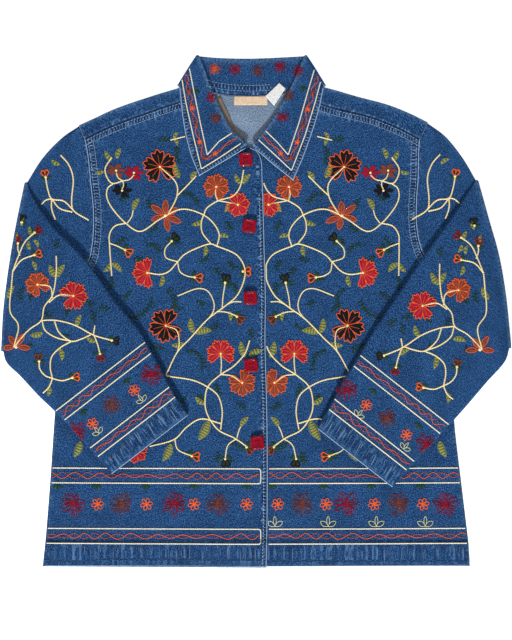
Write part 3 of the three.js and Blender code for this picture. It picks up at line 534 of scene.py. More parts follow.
def makeSleeve(side):
    # a flat tube that lies beside the body, turns over at the elbow and comes back across the front
    shape, look = sleeveOutlines[side], sleeveCloth
    across, upperRows, foreRows, turnSteps = [look[key] for key in ("across", "upperRows", "foreRows", "turnSteps")]
    outward = np.array(shape["outward"], float)
    tip = np.array([shape["upperNear"][0]], float)
    armholeLine = np.vstack([spacedLine(outlines[side + "Armhole"], 60), tip])
    armholeLine = resample(armholeLine, across)[::-1] + outward * look["armholeGap"]
    elbowLine = spacedLine(shape["elbow"], across)
    near, far = spacedLine(shape["upperNear"], upperRows), spacedLine(shape["upperFar"], upperRows)
    near[0], far[0] = armholeLine[0], armholeLine[-1]
    upper = coonsPatch(armholeLine, elbowLine, near, far)
    foreNear, foreFar = spacedLine(shape["foreNear"], foreRows), spacedLine(shape["foreFar"], foreRows)
    cuff = resample(np.array([shape["foreNear"][-1], shape["foreFar"][-1]], float), across)
    fore = coonsPatch(elbowLine, cuff, foreNear, foreFar)
    foreLength = np.linalg.norm(foreNear[-1] - foreNear[0])
    cuffShare = 1 - look["cuff"] / foreLength

    u = np.linspace(0, 1, across + 1)
    puff = 4 * u * (1 - u)
    creaseFade = np.minimum(1, 3 * puff)
    out = outward / np.linalg.norm(outward)
    elbowHalf, radius = look["elbowHalf"], look["elbowRadius"]
    rows = []   # line in plan, half thickness, turn of the normal, height and wall
    for j, line in enumerate(upper):
        share = j / upperRows
        crease = ridges(sleeveCreases[side], line[:, 0], line[:, 1]) * math.sin(math.pi * share) ** 0.5 * creaseFade
        half = (look["armholeHalf"] + look["upperGain"] * share + look["upperPuff"] * puff * math.sin(math.pi * share)
                + look["upperCrease"] * crease)
        rows.append((line, half, 0.0, half, cloth["single"]))
    for turn in math.pi * np.arange(1, turnSteps) / turnSteps:
        height = np.full(across + 1, elbowHalf + radius * (1 - math.cos(turn)))
        rows.append((elbowLine + out * radius * math.sin(turn), np.full(across + 1, elbowHalf), turn, height,
                     cloth["single"]))
    shares = np.concatenate([np.linspace(0, cuffShare, foreRows - 8), [cuffShare + 1.5 / foreLength],
                             np.linspace(cuffShare + 3 / foreLength, 1, 9)])
    for share in shares:
        j = min(foreRows - 1, int(share * foreRows))
        line = fore[j] * (1 - share * foreRows + j) + fore[j + 1] * (share * foreRows - j)
        crease = ridges(sleeveCreases[side], line[:, 0], line[:, 1]) * creaseFade * float(smooth(0, 0.08, share))
        half = (elbowHalf + look["foreGain"] * float(smooth(0, 0.14, share))
                + look["forePuff"] * puff * math.sin(math.pi * min(share, 0.8)) + look["foreCrease"] * crease)
        under = look["foreBottom"] + look["foreSettle"] * float(smooth(0, 0.3, share))
        rows.append((line, half, math.pi, under + half,
                     cloth["doubled"] if share > cuffShare + 2 / foreLength else cloth["single"]))
    line, half, tilt, height, walls = [np.array(column) for column in zip(*rows)]
    tilt, thick = tilt[:, None], walls[:, None] / 2
    normal = np.concatenate([-out * np.sin(tilt), np.cos(tilt)], axis=1)
    nearward, farward = unit(line[:, 0] - line[:, 1]), unit(line[:, -1] - line[:, -2])
    inset = line - nearward[:, None] * (half * (1 - u))[..., None] - farward[:, None] * (half * u)[..., None]
    base = np.dstack([inset, height])

    def ringPart(columns, edgeward, degrees, outwards=1):
        # the layer, or an edge's round, at a turn from the normal towards the edge; the last value is
        # how far the cloth runs on past the flat part, which carries its weave round the edge
        turn = np.radians(np.broadcast_to(degrees, (len(columns),)).astype(float))[None, :, None]
        edge = np.hstack([edgeward, np.zeros((len(edgeward), 1))])[:, None]
        direction = normal[:, None] * np.cos(turn) + edge * np.sin(turn)
        middle = base[:, columns] + direction * (half[:, columns] - thick)[..., None]
        beyond = outwards * half[:, columns] * np.minimum(turn, math.pi - turn)[..., 0]
        return middle, direction, np.broadcast_to(u[columns], (len(line), len(columns))), beyond

    rounds = look["edgeTurns"]
    bends = np.linspace(0, 180, rounds + 2)[1:-1]
    inner = np.arange(across + 1)
    parts = [ringPart(inner, farward, 0), ringPart(np.full(rounds, across), farward, bends),
             ringPart(inner[::-1], farward, 180), ringPart(np.full(rounds, 0), nearward, bends[::-1], -1)]
    order = -1 if side == "right" else 1
    middle, direction, share, beyond = [np.concatenate(part, axis=1)[:, ::order] for part in zip(*parts)]
    run = runAlong(line.mean(axis=1))
    width = np.linalg.norm(line[:, -1] - line[:, 0], axis=1)
    uv = np.dstack([(share - 0.5) * width[:, None] + beyond, np.broadcast_to(run[:, None], share.shape)])
    fromArmhole, fromCuff = run[:, None], (run[-1] - run)[:, None]
    fromElbow = fromArmhole - run[upperRows + turnSteps // 2]
    fromSide = np.minimum(share, 1 - share) * width[:, None]

    def bell(distance, peak, *placeAndWidth):
        # peak times exp(-((distance - place)/width)^2)
        place, wide = (0, *placeAndWidth)[-2:]
        return peak * np.exp(-((distance - place) / wide) ** 2)

    pucker = np.maximum(bell(fromArmhole, *sleeveMarks["armholePucker"]), bell(fromCuff, *sleeveMarks["cuffPucker"]))
    pucker = np.maximum(pucker, bell(fromSide, *sleeveMarks["sidePucker"]) * (fromArmhole < sleeveMarks["sideEnd"]))
    wear = np.maximum(bell(fromCuff, *sleeveMarks["cuffWear"]), bell(fromElbow, *sleeveMarks["elbowWear"]))
    wide = np.broadcast_to(thick, share.shape)
    piece = clothShell("sleeve_%s_cloth" % side, middle, direction, wide, uv,
                       (pucker, wear, uv[..., 0] * 0.001 + 0.3), (0.0, 1.0), ring=True)
    piece["clothArea"] = float((width[:-1] * np.diff(run)).sum() * 2)
    filePanel("sleeve_" + side, piece, middle + direction * wide[..., None])


makeSleeve("right")
makeSleeve("left")

collarCloth = {"frontSteps": 44, "backSteps": 40, "standSteps": 10, "leafSteps": 24, "cornerTurn": 20,
               "standLow": 3.0, "standHigh": 5.7, "step": 2.1, "rollRadius": 1.05}


def makeCollar():
    # lines across the collar from neck seam over the roll to the outer edge; the ring that they
    # make round the neck is pressed flat: back half low, front half high
    look, thick = collarCloth, cloth["doubled"]
    standLow, standHigh, step, radius = [look[key] for key in ("standLow", "standHigh", "step", "rollRadius")]

    def stationsOf(rows, steps, degrees):
        # seam, roll and edge points of a run of lines that are all turned alike
        parts = [spacedLine([row[k] for row in rows], steps) for k in range(3)]
        return parts + [np.full(steps + 1, float(degrees)), np.zeros((steps + 1, 2))]

    def cornerOf(row, degrees, outward):
        # one line across, turned over step by step at a corner of the ring
        count = len(degrees)
        return [np.tile(np.array(row[k], float), (count, 1)) for k in range(3)] + \
               [np.array(degrees, float), np.tile(np.array(outward), (count, 1))]

    bends = np.arange(look["cornerTurn"], 180, look["cornerTurn"])
    parts = [stationsOf(collarRows["frontRight"], look["frontSteps"], 180),
             cornerOf(collarRows["back"][0], bends[::-1], (-0.83, 0.56)),
             stationsOf(collarRows["back"], look["backSteps"], 0),
             cornerOf(collarRows["back"][-1], bends, (0.84, 0.54)),
             stationsOf(collarRows["frontLeft"], look["frontSteps"], 180)]
    seam, roll, edge, degrees, outward = [np.concatenate(part) for part in zip(*parts)]
    inward = unit(roll - (seam + edge) / 2)
    angle = np.radians(degrees)

    def place(plan, offset, drop):
        # a column of the collar: half a circle from the low layer to the high one at its angle
        low = standLow - offset
        high = np.where(degrees > 0, standHigh + offset - drop, low)
        moved = plan + outward * ((high - low) / 2 * np.sin(angle))[:, None]
        return np.column_stack([moved, low + (high - low) * (1 - np.cos(angle)) / 2])

    columns = [place(seam * (1 - share) + roll * share, 0, 0) for share in np.linspace(0, 1, look["standSteps"])]
    for turn in np.radians(np.arange(20, 181, 20)):
        columns.append(place(roll + inward * radius * math.sin(turn), radius * (1 - math.cos(turn)), 0))
    rollColumn = look["standSteps"] + 3
    for share in np.linspace(0, 1, look["leafSteps"] + 1)[1:]:
        plan = roll * (1 - share) + edge * share
        resting = frontTop(plan[:, 0], plan[:, 1]) + cloth["gap"] + thick / 2
        columns.append(place(plan, step, np.maximum(0, standHigh + step - resting) * smooth(0.25, 1, share)))
    middle = np.stack(columns, axis=1)
    normal = unit(np.cross(np.gradient(middle, axis=1), np.gradient(middle, axis=0)))
    steps = np.linalg.norm(np.diff(middle, axis=1), axis=2)
    acrossRun = np.concatenate([np.zeros((len(middle), 1)), np.cumsum(steps, axis=1)], axis=1)
    run = runAlong(middle[:, look["standSteps"] + 12])
    wideRun = np.broadcast_to(run[:, None], acrossRun.shape)
    fromEdge = np.minimum(acrossRun[:, -1:] - acrossRun, np.minimum(run, run[-1] - run)[:, None])
    fromRoll = acrossRun - acrossRun[:, rollColumn:rollColumn + 1]
    pucker = np.maximum(np.exp(-((fromEdge - 4) / 6) ** 2), 0.8 * np.exp(-(acrossRun / 9) ** 2))
    wear = np.maximum(0.9 * np.exp(-(fromEdge / 2.2) ** 2), 0.5 * np.exp(-(fromRoll / 5) ** 2))
    piece = clothShell("collar_cloth", middle, normal, np.full(acrossRun.shape, thick / 2),
                       np.dstack([acrossRun, wideRun]), (pucker, wear, wideRun * 0.001))
    piece["clothArea"] = float(acrossRun[:, -1].mean() * run[-1])
    filePanel("collar", piece, np.concatenate([middle + normal * thick / 2, middle - normal * thick / 2], axis=1))


makeCollar()


# The tape's line, width, taper and lift, the labels' corners in plan, and the thickness of one woven layer
trimCloth = {"thick": 0.8, "tapeLine": [(-53.5, 287), (-44, 268), (-30, 241), (-18, 231)], "tapeWide": 12,
             "tapeTaper": 0.35, "tapeLift": 0.6, "neckLabel": [(-30, 278), (15, 278), (15, 290), (-30, 290)],
             "careLabel": [(12, 290), (24, 277), (39.5, 300.5), (31, 308)], "careBottom": 4.5}


def makeStrip(name, plan, bottomAt):
    # a flat patch of cloth lying on what is under it, worn at its rim
    x, y = plan[..., 0], plan[..., 1]
    thick = trimCloth["thick"]
    rim = np.pad(np.zeros((x.shape[0] - 2, x.shape[1] - 2)), 1, constant_values=1.0)
    middle = np.dstack([x, y, bottomAt(x, y) + thick / 2])
    panels[name] = clothShell(name + "_cloth", middle, upward(x), np.full(x.shape, thick / 2), plan, (0.0, rim, 0.0))


def fourCorners(corners, rows, columns):
    # grid of points between four corners
    a, b, c, d = [np.array(corner, float) for corner in corners]
    return coonsPatch(resample(np.array([a, b]), columns), resample(np.array([d, c]), columns),
                      resample(np.array([a, d]), rows), resample(np.array([b, c]), rows))


def makeTrims():
    # neck tape, narrower and lower towards its front end, neck label and care label
    line = spacedLine(trimCloth["tapeLine"], 30)
    sideways = -leftward(unit(np.gradient(line, axis=0)))
    width = trimCloth["tapeWide"] * (1 - trimCloth["tapeTaper"] * np.linspace(0, 1, len(line)))
    tape = line[:, None] + sideways[:, None] * (width[:, None] * (np.linspace(0, 1, 7)[None] - 0.5))[..., None]
    onBack = lambda x, y: backTop(x, y) + cloth["gap"]
    makeStrip("neck_tape", tape, lambda x, y: onBack(x, y) + trimCloth["tapeLift"] * (1 - smooth(225, 262, y)))
    makeStrip("neck_label", fourCorners(trimCloth["neckLabel"], 8, 24), onBack)
    makeStrip("care_label", fourCorners(trimCloth["careLabel"], 16, 10), lambda x, y: trimCloth["careBottom"] + 0 * x)
    print("made tape and labels")


makeTrims()


def toLinear(rgb):
    # sRGB 0-255 to linear: c/12.92 up to 0.04045, else ((c + 0.055)/1.055)^2.4
    c = np.asarray(rgb, float) / 255
    return np.where(c <= 0.04045, c / 12.92, ((c + 0.055) / 1.055) ** 2.4)


# Thread colours, sRGB 0-255; the pale edge colour is wear and partly painted highlight, the darkest blue is painted
# shade
threads = {"cream": (242, 224, 168), "line": (236, 230, 204), "orange": (226, 96, 44), "red": (158, 18, 46),
           "crimson": (148, 12, 40), "rust": (122, 58, 42), "brown": (142, 62, 38), "black": (14, 12, 18),
           "leaf": (158, 160, 88), "leafDark": (46, 64, 36), "green": (26, 58, 44), "lotus": (206, 208, 158),
           "edge": (146, 174, 206), "stitch": (136, 168, 204), "shadeLine": (16, 34, 72), "sepal": (40, 44, 24)}
threadColours = {name: toLinear(rgb) for name, rgb in threads.items()}
seeded = np.random.default_rng(7)


def startWork(surface, keepRightOf=None, keepLeftOf=None):
    # collects the stitches of one panel; keepRightOf(y) gives the edge that hides what is left of it
    # and keepLeftOf(y) the one that hides what is right of it
    return {"height": tops[surface], "edge": keepRightOf, "farEdge": keepLeftOf, "points": [], "quads": [],
            "triangles": [], "colours": [], "uv": [], "count": 0}


def store(work, points, quads, triangles, colours, uv):
    # adds a thread's mesh to the piece of work, its faces counted on from what is there
    work["points"].append(points)
    work["quads"].append(quads + work["count"])
    work["triangles"].append(triangles + work["count"])
    work["colours"].append(colours)
    work["uv"].append(uv)
    work["count"] += len(points)


# pinch is how much a link narrows at its ends, sink how much of a thread's height lies above the cloth; shades are
# painted shade, as (darkest, added) over the pinch between links and round the thread's lower side, and endShade at its
# ends
threadLook = {"inside": 1.2, "pinch": 0.34, "sink": 0.45, "linkSteps": 3, "strand": 0.0006,
              "pinchShade": (0.62, 0.38), "roundShade": (0.8, 0.2), "endShade": 0.8}


def clamped(work, line):
    # points moved sideways to just inside the edges that hide them
    x = line[:, 0]
    if work["edge"]:
        x = np.maximum(x, work["edge"](line[:, 1]) + threadLook["inside"])
    if work["farEdge"]:
        x = np.minimum(x, work["farEdge"](line[:, 1]) - threadLook["inside"])
    return np.column_stack([x, line[:, 1]])


def addTube(work, line, halfWidth, halfHeight, colour, spacing=1.1, sides=5, closed=False, link=0.0, lift=0.0):
    # a thread laid on the cloth: an oval section carried along the line and narrowed by
    # 1 - pinch |cos(pi run/link)|^3, with the cloth's height under each side of it
    look, line = threadLook, np.asarray(line, float)
    if work["edge"] or work["farEdge"]:
        if closed or np.ndim(halfWidth):
            line = clamped(work, line)
        else:
            dense = resample(line, max(4, int(stepLengths(line).sum())))
            line = dense[np.abs(clamped(work, dense)[:, 0] - dense[:, 0]) < 1e-9]
            if len(line) < 3:
                return
    if closed:
        line = np.vstack([line, line[:1]])
    length = float(stepLengths(line).sum())
    if length < 0.2:
        return
    steps = max(3, int(round(length / link)) * look["linkSteps"] if link else int(round(length / spacing)))
    p = resample(line, steps)
    run = np.linspace(0, length, steps + 1)
    if closed:
        p, run = p[:-1], run[:-1]
        tangent = np.roll(p, -1, axis=0) - np.roll(p, 1, axis=0)
    else:
        tangent = np.gradient(p, axis=0)
    tangent /= np.maximum(np.linalg.norm(tangent, axis=1), 1e-6)[:, None]
    side = leftward(tangent)
    share, width = run / length, np.full(len(p), halfWidth) if np.ndim(halfWidth) == 0 else None
    if width is None:
        width = np.interp(share, np.linspace(0, 1, len(halfWidth)), halfWidth)
    pinch = 1 - look["pinch"] * np.abs(np.cos(math.pi * run / link)) ** 3 if link else np.ones(len(p))
    rise = halfHeight * (width / max(width.max(), 1e-6)) ** 0.5 * pinch
    angle = 2 * math.pi * np.arange(sides) / sides + math.pi / (2 if sides % 2 else sides)
    plan = p[:, None] + side[:, None] * ((width * pinch)[:, None] * np.cos(angle))[..., None]
    base = work["height"](p[:, 0], p[:, 1]) + lift + look["sink"] * halfHeight
    under = work["height"](plan[..., 0], plan[..., 1]) + lift + look["sink"] * halfHeight
    z = under + rise[:, None] * np.sin(angle)
    n = len(p)
    points = np.dstack([plan, z]).reshape(-1, 3)
    rows = np.arange(n if closed else n - 1)
    k = np.arange(sides)
    a = rows[:, None] * sides + k
    b = rows[:, None] * sides + (k + 1) % sides
    c = ((rows + 1) % n)[:, None] * sides + (k + 1) % sides
    d = ((rows + 1) % n)[:, None] * sides + k
    quads = np.stack([a, d, c, b], axis=2).reshape(-1, 4)
    triangles = np.zeros((0, 3), int)
    tone = np.broadcast_to(colour, (n, 3)) if np.ndim(colour) == 1 else \
        np.stack([np.interp(share, np.linspace(0, 1, len(colour)), colour[:, i]) for i in range(3)], axis=1)
    # painted shade: the thread darker at the pinch between links and on its lower side
    (low, more), (dark, light) = look["pinchShade"], look["roundShade"]
    shade = (low + more * pinch / pinch.max())[:, None, None] * (dark + light * np.sin(angle))[None, :, None]
    colours = (tone[:, None] * shade).reshape(-1, 3)
    uv = np.dstack([np.broadcast_to(np.arange(sides) * look["strand"], (n, sides)),
                    np.broadcast_to(run[:, None] * 0.001, (n, sides))]).reshape(-1, 2)
    if not closed:
        ends = np.array([[*p[0], base[0]], [*p[-1], base[-1]]])
        last = (n - 1) * sides
        first = np.stack([np.full(sides, n * sides), k, (k + 1) % sides], axis=1)
        second = np.stack([np.full(sides, n * sides + 1), last + (k + 1) % sides, last + k], axis=1)
        triangles = np.vstack([first, second])
        points = np.vstack([points, ends])
        # the end caps darker, as painted shade
        colours = np.vstack([colours, tone[:1] * look["endShade"], tone[-1:] * look["endShade"]])
        uv = np.vstack([uv, [[0, 0], [0, length * 0.001]]])
    store(work, points, quads, triangles, colours, uv)


# skin is how far the rim lies above the cloth, root how far the underside lies below its face; poleShade darkens the
# top middle, and rootShade is painted shade on the underside below the cloth
domeLook = {"skin": 0.12, "root": 0.15, "fall": 0.94, "poleShade": 0.9, "rootShade": 0.5, "strand": 0.012}


def addDome(work, outline, centre, rise, colour, rings=4, streak=0.35):
    # satin filling: rings from the centre to a closed outline, raised by rise sqrt(1 - fall t^2), streaked
    # from the centre outwards as the threads run, and closed below the cloth's face
    look = domeLook
    outline, centre = np.asarray(outline, float), np.asarray(centre, float)
    outline, centre = clamped(work, outline), clamped(work, centre[None])[0]
    n = len(outline)
    t = np.linspace(0, 1, rings + 1)[1:]
    plan = centre + (outline - centre)[None] * t[:, None, None]
    x, y = plan[..., 0], plan[..., 1]
    top = work["height"](x, y) + look["skin"] + rise * np.sqrt(1 - look["fall"] * t ** 2)[:, None]
    low = work["height"](outline[:, 0], outline[:, 1]) - look["root"]
    middleZ = float(work["height"](centre[:1], centre[1:])[0])
    points = np.vstack([np.dstack([x, y, top]).reshape(-1, 3), np.column_stack([outline, low]),
                        [[*centre, middleZ + look["skin"] + rise]], [[*centre, middleZ - look["root"]]]])
    k, following = np.arange(n), (np.arange(n) + 1) % n
    rows = np.arange(rings)[:, None] * n
    quads = np.stack([rows + k, rows + n + k, rows + n + following, rows + following], axis=2).reshape(-1, 4)
    pole, floorPole = (rings + 1) * n, (rings + 1) * n + 1
    triangles = np.vstack([np.stack([np.full(n, pole), k, following], axis=1),
                           np.stack([np.full(n, floorPole), rings * n + following, rings * n + k], axis=1)])
    area = np.sum(outline[:, 0] * np.roll(outline[:, 1], -1) - outline[:, 1] * np.roll(outline[:, 0], -1))
    if area < 0:
        quads, triangles = quads[:, ::-1], triangles[:, ::-1]
    thread = 1 + streak * (2 * seeded.random(n) - 1)
    tone = colour[None, None] * thread[None, :, None] * np.ones((rings + 1, 1, 1))
    colours = np.vstack([tone.reshape(-1, 3), colour[None] * look["poleShade"], colour[None] * look["rootShade"]])
    angle = np.arctan2(outline[:, 1] - centre[1], outline[:, 0] - centre[0])
    reach = np.linalg.norm(outline - centre, axis=1)
    uv = np.dstack([np.broadcast_to(angle * look["strand"], (rings + 1, n)),
                    np.vstack([t[:, None] * reach, reach[None]]) * 0.001]).reshape(-1, 2)
    store(work, points, quads, triangles, np.maximum(colours, 0), np.vstack([uv, [[0, 0], [0, 0]]]))


def addKnot(work, x, y, radius, colour, rise=0.9):
    # a small round knot of thread
    rim = np.array([x, y]) + radius * np.stack([heading(a) for a in range(0, 360, 36)])
    addDome(work, rim, (x, y), rise, colour, 3, 0.2)


def petalLines(x, y, angle, length, width, blunt=0.8, bend=0.0):
    # middle line and half widths of a petal: width times sin(pi s^blunt)^0.8, the line bowed by bend
    s = np.linspace(0, 1, 17)
    ahead, aside = heading(angle), heading(angle + 90)
    middle = np.array([x, y]) + ahead * (length * s)[:, None] + aside * (bend * np.sin(math.pi * s))[:, None]
    half = width * np.sin(math.pi * np.clip(s, 0, 1) ** blunt) ** 0.8
    rim = np.vstack([middle + aside * half[:, None], (middle - aside * half[:, None])[::-1][1:-1]])
    return middle, np.maximum(half, 0.12), rim


def addPetal(work, x, y, angle, length, width, fill, outline=None, blunt=0.8, line=0.5):
    # a petal with a satin filling, an outline of thread, or both
    middle, half, rim = petalLines(x, y, angle, length, width, blunt)
    if fill is not None:
        addDome(work, rim, middle[8], 0.45, fill, 3)
    if outline is not None:
        addTube(work, rim, line, 0.55, outline, spacing=1.4, closed=True, sides=5)


# Leaf: how much longer than its table says, width to length, length of a bar, and the waves of its bars
leafLook = {"longer": 1.16, "slim": 0.2, "bar": 1.7, "fill": 0.9, "waves": (0.16, 2.4), "rim": (0.36, 0.5)}


def addLeaf(work, x, y, angle, length, bend=1.5):
    # herringbone leaf: bars of thread in two greens across a leaf shape
    look = leafLook
    length *= look["longer"]
    middle, half, rim = petalLines(x, y, angle, length, look["slim"] * length, 0.85, bend)
    bars, (swing, pace) = max(4, int(length / look["bar"])), look["waves"]
    tone = np.where((np.arange(bars) % 2)[:, None], threadColours["leaf"], threadColours["leafDark"])
    widths = half * look["fill"] * (1 + swing * np.sin(np.arange(17) * pace))
    addTube(work, middle, widths, 0.5, tone, spacing=0.75, sides=7)
    addTube(work, rim, *look["rim"], threadColours["leaf"], link=2.2, closed=True, sides=5)


# Fan: share of its radius at the notches, added by a petal and by its scallops, and their number; then
# the rise of the satin, and half width, half height and length of its outline, spokes and inner spokes
fanLook = {"notch": 0.42, "petal": 0.38, "scallop": 0.2, "scallops": 3, "rise": 0.6, "outline": (0.62, 0.75),
           "spoke": (0.55, 0.7, 0.52), "inner": (0.3, 0.5, 0.7), "eye": 2.0}


def fanOutline(x, y, facing, spread, radius, petals):
    # scalloped outline: petals as |sin|^0.4 with deep notches between them, small scallops on each
    look = fanLook
    a = np.linspace(0, 1, petals * 18 + 1)
    b = (a * petals) % 1.0
    b[-1] = 1.0
    tooth = 1 - np.abs(2 * ((look["scallops"] * b) % 1.0) - 1)
    petal = look["petal"] * np.sin(math.pi * b) ** 0.4
    reach = radius * (look["notch"] + petal + look["scallop"] * tooth ** 0.8)
    turn = np.radians(facing - spread / 2 + spread * a)
    line = np.array([x, y]) + np.column_stack([np.cos(turn), np.sin(turn)]) * reach[:, None]
    if spread > 350:
        return line[:-1]
    return np.vstack([line, [[x, y] + 0.1 * radius * heading(facing + 180)]])


def addFan(work, x, y, facing, spread, radius, petals, fill, outline):
    # scalloped flower seen open: satin petals, outline in chain stitch and spokes from the eye
    look, start = fanLook, np.array([x, y])
    rim = fanOutline(x, y, facing, spread, radius, petals)
    addDome(work, rim, (x, y), look["rise"], fill, 5, 0.4)
    addTube(work, rim, *look["outline"], outline, spacing=1.0, closed=True, sides=5)
    wide, high, share = look["spoke"]
    thin, low, reach = look["inner"]
    for k in range(petals + 1):
        turn = facing - spread / 2 + spread * k / petals
        between = start + share * radius * heading(turn)
        addTube(work, [start, between], wide, high, outline, link=2.2, sides=5, lift=0.4)
        if k < petals:
            inside = start + reach * radius * heading(turn + spread / petals / 2)
            addTube(work, [start, inside], thin, low, outline, spacing=1.5, sides=4, lift=0.35)
    addKnot(work, x, y, look["eye"], threadColours["cream"], 1.5)


# Lily: its petals' unevenness and pace, width to length, where they start, and the vein in each
lilyLook = {"uneven": (0.12, 2.1), "slim": 0.2, "start": 2.5, "vein": (3, 0.75), "veinSize": (0.3, 0.5), "eye": 2.2}


def addLily(work, x, y, facing, spread, length, petals, fill, outline):
    # star of pointed petals round an eye
    look, middle = lilyLook, np.array([x, y])
    for k in range(petals):
        turn = facing - spread / 2 + spread * (k + 0.5) / petals
        reach = length * (1 + look["uneven"][0] * math.sin(look["uneven"][1] * k))
        place = middle + look["start"] * heading(turn)
        addPetal(work, *place, turn, reach, look["slim"] * length, fill, outline, 1.05)
        first, share = look["vein"]
        vein = [middle + first * heading(turn), middle + share * length * heading(turn)]
        addTube(work, vein, *look["veinSize"], outline, 1.5, 4, lift=0.35)
    addKnot(work, x, y, look["eye"], threadColours["cream"], 1.3)


# Cluster: degrees and pace of its petals' unevenness, their length (middle, swing, pace) and width
clusterLook = {"petals": 8, "turn": (14, 2.3), "length": (0.82, 0.18, 1.7), "slim": 0.17, "start": 1.2, "rim": 1.25}


def addCluster(work, x, y, radius, colour):
    # small ragged flower of separate narrow petals
    look = clusterLook
    (sway, pace), (long, swing, beat) = look["turn"], look["length"]
    for k in range(look["petals"]):
        turn = 360 * k / look["petals"] + sway * math.sin(pace * k)
        length = radius * (long + swing * math.cos(beat * k))
        addPetal(work, *((x, y) + look["start"] * heading(turn)), turn, length, radius * look["slim"],
                 colour, colour * look["rim"], 1.3, line=0.4)


# Bud: turn and length of its sepals, their width, and its trumpet: spread, size, lobes and outline
budLook = {"sepals": {-128: 0.8, -100: 0.95, 100: 0.95, 128: 0.8}, "slim": 0.17, "spread": 88, "trumpet": 1.2,
           "lobes": 2, "outline": (0.72, 0.65), "centre": 0.35, "pistil": 0.5, "eye": 1.9}


def addBud(work, x, y, angle, colour, size=10.0):
    # open bud: a two-lobed trumpet outlined in chain stitch, dark inside, between green sepals
    look = budLook
    for turn, length in look["sepals"].items():
        addPetal(work, x, y, angle + turn, size * length, size * look["slim"], threadColours["green"] * 1.15, None, 1.0)
    rim = fanOutline(x, y, angle, look["spread"], size * look["trumpet"], look["lobes"])
    middle = np.array([x, y]) + look["centre"] * size * heading(angle)
    addDome(work, rim, middle, 0.4, threadColours["sepal"], 4, 0.5)
    addTube(work, rim, *look["outline"], colour, spacing=1.2, closed=True, sides=5)
    addTube(work, [(x, y), (x, y) + look["pistil"] * size * heading(angle)], 0.6, 0.6, colour, 1.6, 5, lift=0.3)
    addKnot(work, x, y, look["eye"], threadColours["cream"], 1.3)


# Sprig: how much its bend is enlarged, spacing and turn of its leaflets, and their length and brightness
# as (least, added at random)
sprigLook = {"bow": 1.35, "spacing": 2.3, "turn": 52, "length": (4.6, 2.0), "tone": (0.8, 0.5), "halfWidth": 1.3}


def addSprig(work, x1, y1, x2, y2, bend):
    # a dim row of small leaflets, turned out in turn, on a short line bowed by bend sin(pi s)
    look, green = sprigLook, threadColours["green"]
    a, b, bow = np.array([x1, y1], float), np.array([x2, y2], float), look["bow"] * bend
    along = b - a
    length = np.linalg.norm(along)
    aside = np.array([-along[1], along[0]]) / length
    s = np.linspace(0, 1, 12)
    line = a + along * s[:, None] + aside * (bow * np.sin(math.pi * s))[:, None]
    addTube(work, line, 0.7, 0.4, green, spacing=1.6, sides=4)
    turn = math.degrees(math.atan2(along[1], along[0]))
    for k, share in enumerate(np.arange(0.0, 1.01, look["spacing"] / max(length, 6))):
        at = a + along * share + aside * (bow * math.sin(math.pi * share))
        tone = green * (look["tone"][0] + look["tone"][1] * seeded.random())
        reach = look["length"][0] + look["length"][1] * seeded.random()
        leaf = turn + (look["turn"] if k % 2 else -look["turn"])
        middle, half, rim = petalLines(*at, leaf, reach, look["halfWidth"])
        addTube(work, middle, half, 0.4, tone, 1.4, 4)


def addVine(work, points, halfWidth):
    # cream chain stitch along a smooth curve through given points
    length = stepLengths(np.array(points, float)).sum()
    line = spacedLine(points, max(6, int(length / 1.5)))
    addTube(work, line, halfWidth, 0.8, threadColours["cream"], link=2.7)


# Ragged flower, each value as (least, added at random): place in its petal's share, turn in degrees either
# way, length and width to radius, bow in mm either way, and brightness
sketchLook = {"place": 0.5, "turn": 26, "length": (0.74, 0.42), "width": (0.13, 0.13), "bow": 3,
              "tone": (0.65, 0.5), "eyeTurn": 30, "eye": 0.4}


def addSketchFlower(work, x, y, radius, colour, petals=7, turns=3):
    # ragged flower of fine thread: each petal is a few open loops from the eye, uneven in length,
    # width and direction
    look = sketchLook

    def drawn(key):
        # least plus a random share of what is added
        return look[key][0] + look[key][1] * seeded.random()

    for k in range(petals):
        for j in range(turns):
            turn = 360 * (k + look["place"] * seeded.random()) / petals + look["turn"] * (seeded.random() - 0.5)
            length, width = radius * drawn("length"), radius * drawn("width")
            rim = petalLines(x, y, turn, length, width, 1.25, look["bow"] * (seeded.random() - 0.5))[2]
            addTube(work, rim, 0.4, 0.4, colour * drawn("tone"), spacing=2.0, sides=3)
    for k in range(petals):
        turn = heading(360 * k / petals + look["eyeTurn"] * seeded.random())
        addTube(work, [(x, y), (x, y) + turn * radius * look["eye"]], 0.5, 0.55, colour, 1.8, 4)


def addLoopFlower(work, x, y, radius, colour, petals=6, start=1.1, slim=0.26):
    # ring of open teardrop loops round a knot, start mm from the eye and slim times the radius wide
    for k in range(petals):
        turn = 360 * k / petals + 12
        place = (x, y) + start * heading(turn)
        addPetal(work, *place, turn, radius - start, radius * slim, None, colour, 1.3, line=0.62)
    addKnot(work, x, y, 1.7, colour, 0.8)


def addLotus(work, x, y, size, turn):
    # three open petals side by side, outline only
    for k in (-58, 0, 58):
        length, width = (0.95, 0.24) if k else (1.1, 0.15)
        addPetal(work, x, y, turn + k, size * length, size * width, None, threadColours["lotus"], 1.1, line=0.45)


def addThreeLeaves(work, x, y, size, turn):
    # three small leaves side by side, filled
    for k in (-50, 0, 50):
        addPetal(work, x, y, turn + k, size, size * 0.2, threadColours["green"], None, 0.9)


# Braid: (size, wavelength/2pi in mm) of two wanders of its crossings; (middle, size, wavelength/2pi) of how
# its first wave and its other one swell; half width and half height of both threads
braidLook = {"wander": ((0.9, 43), (0.5, 19)), "swell": (0.82, 0.25, 31), "other": (0.9, 0.2, 23),
             "chain": (0.56, 0.55), "running": (0.52, 0.5), "dim": 0.8}


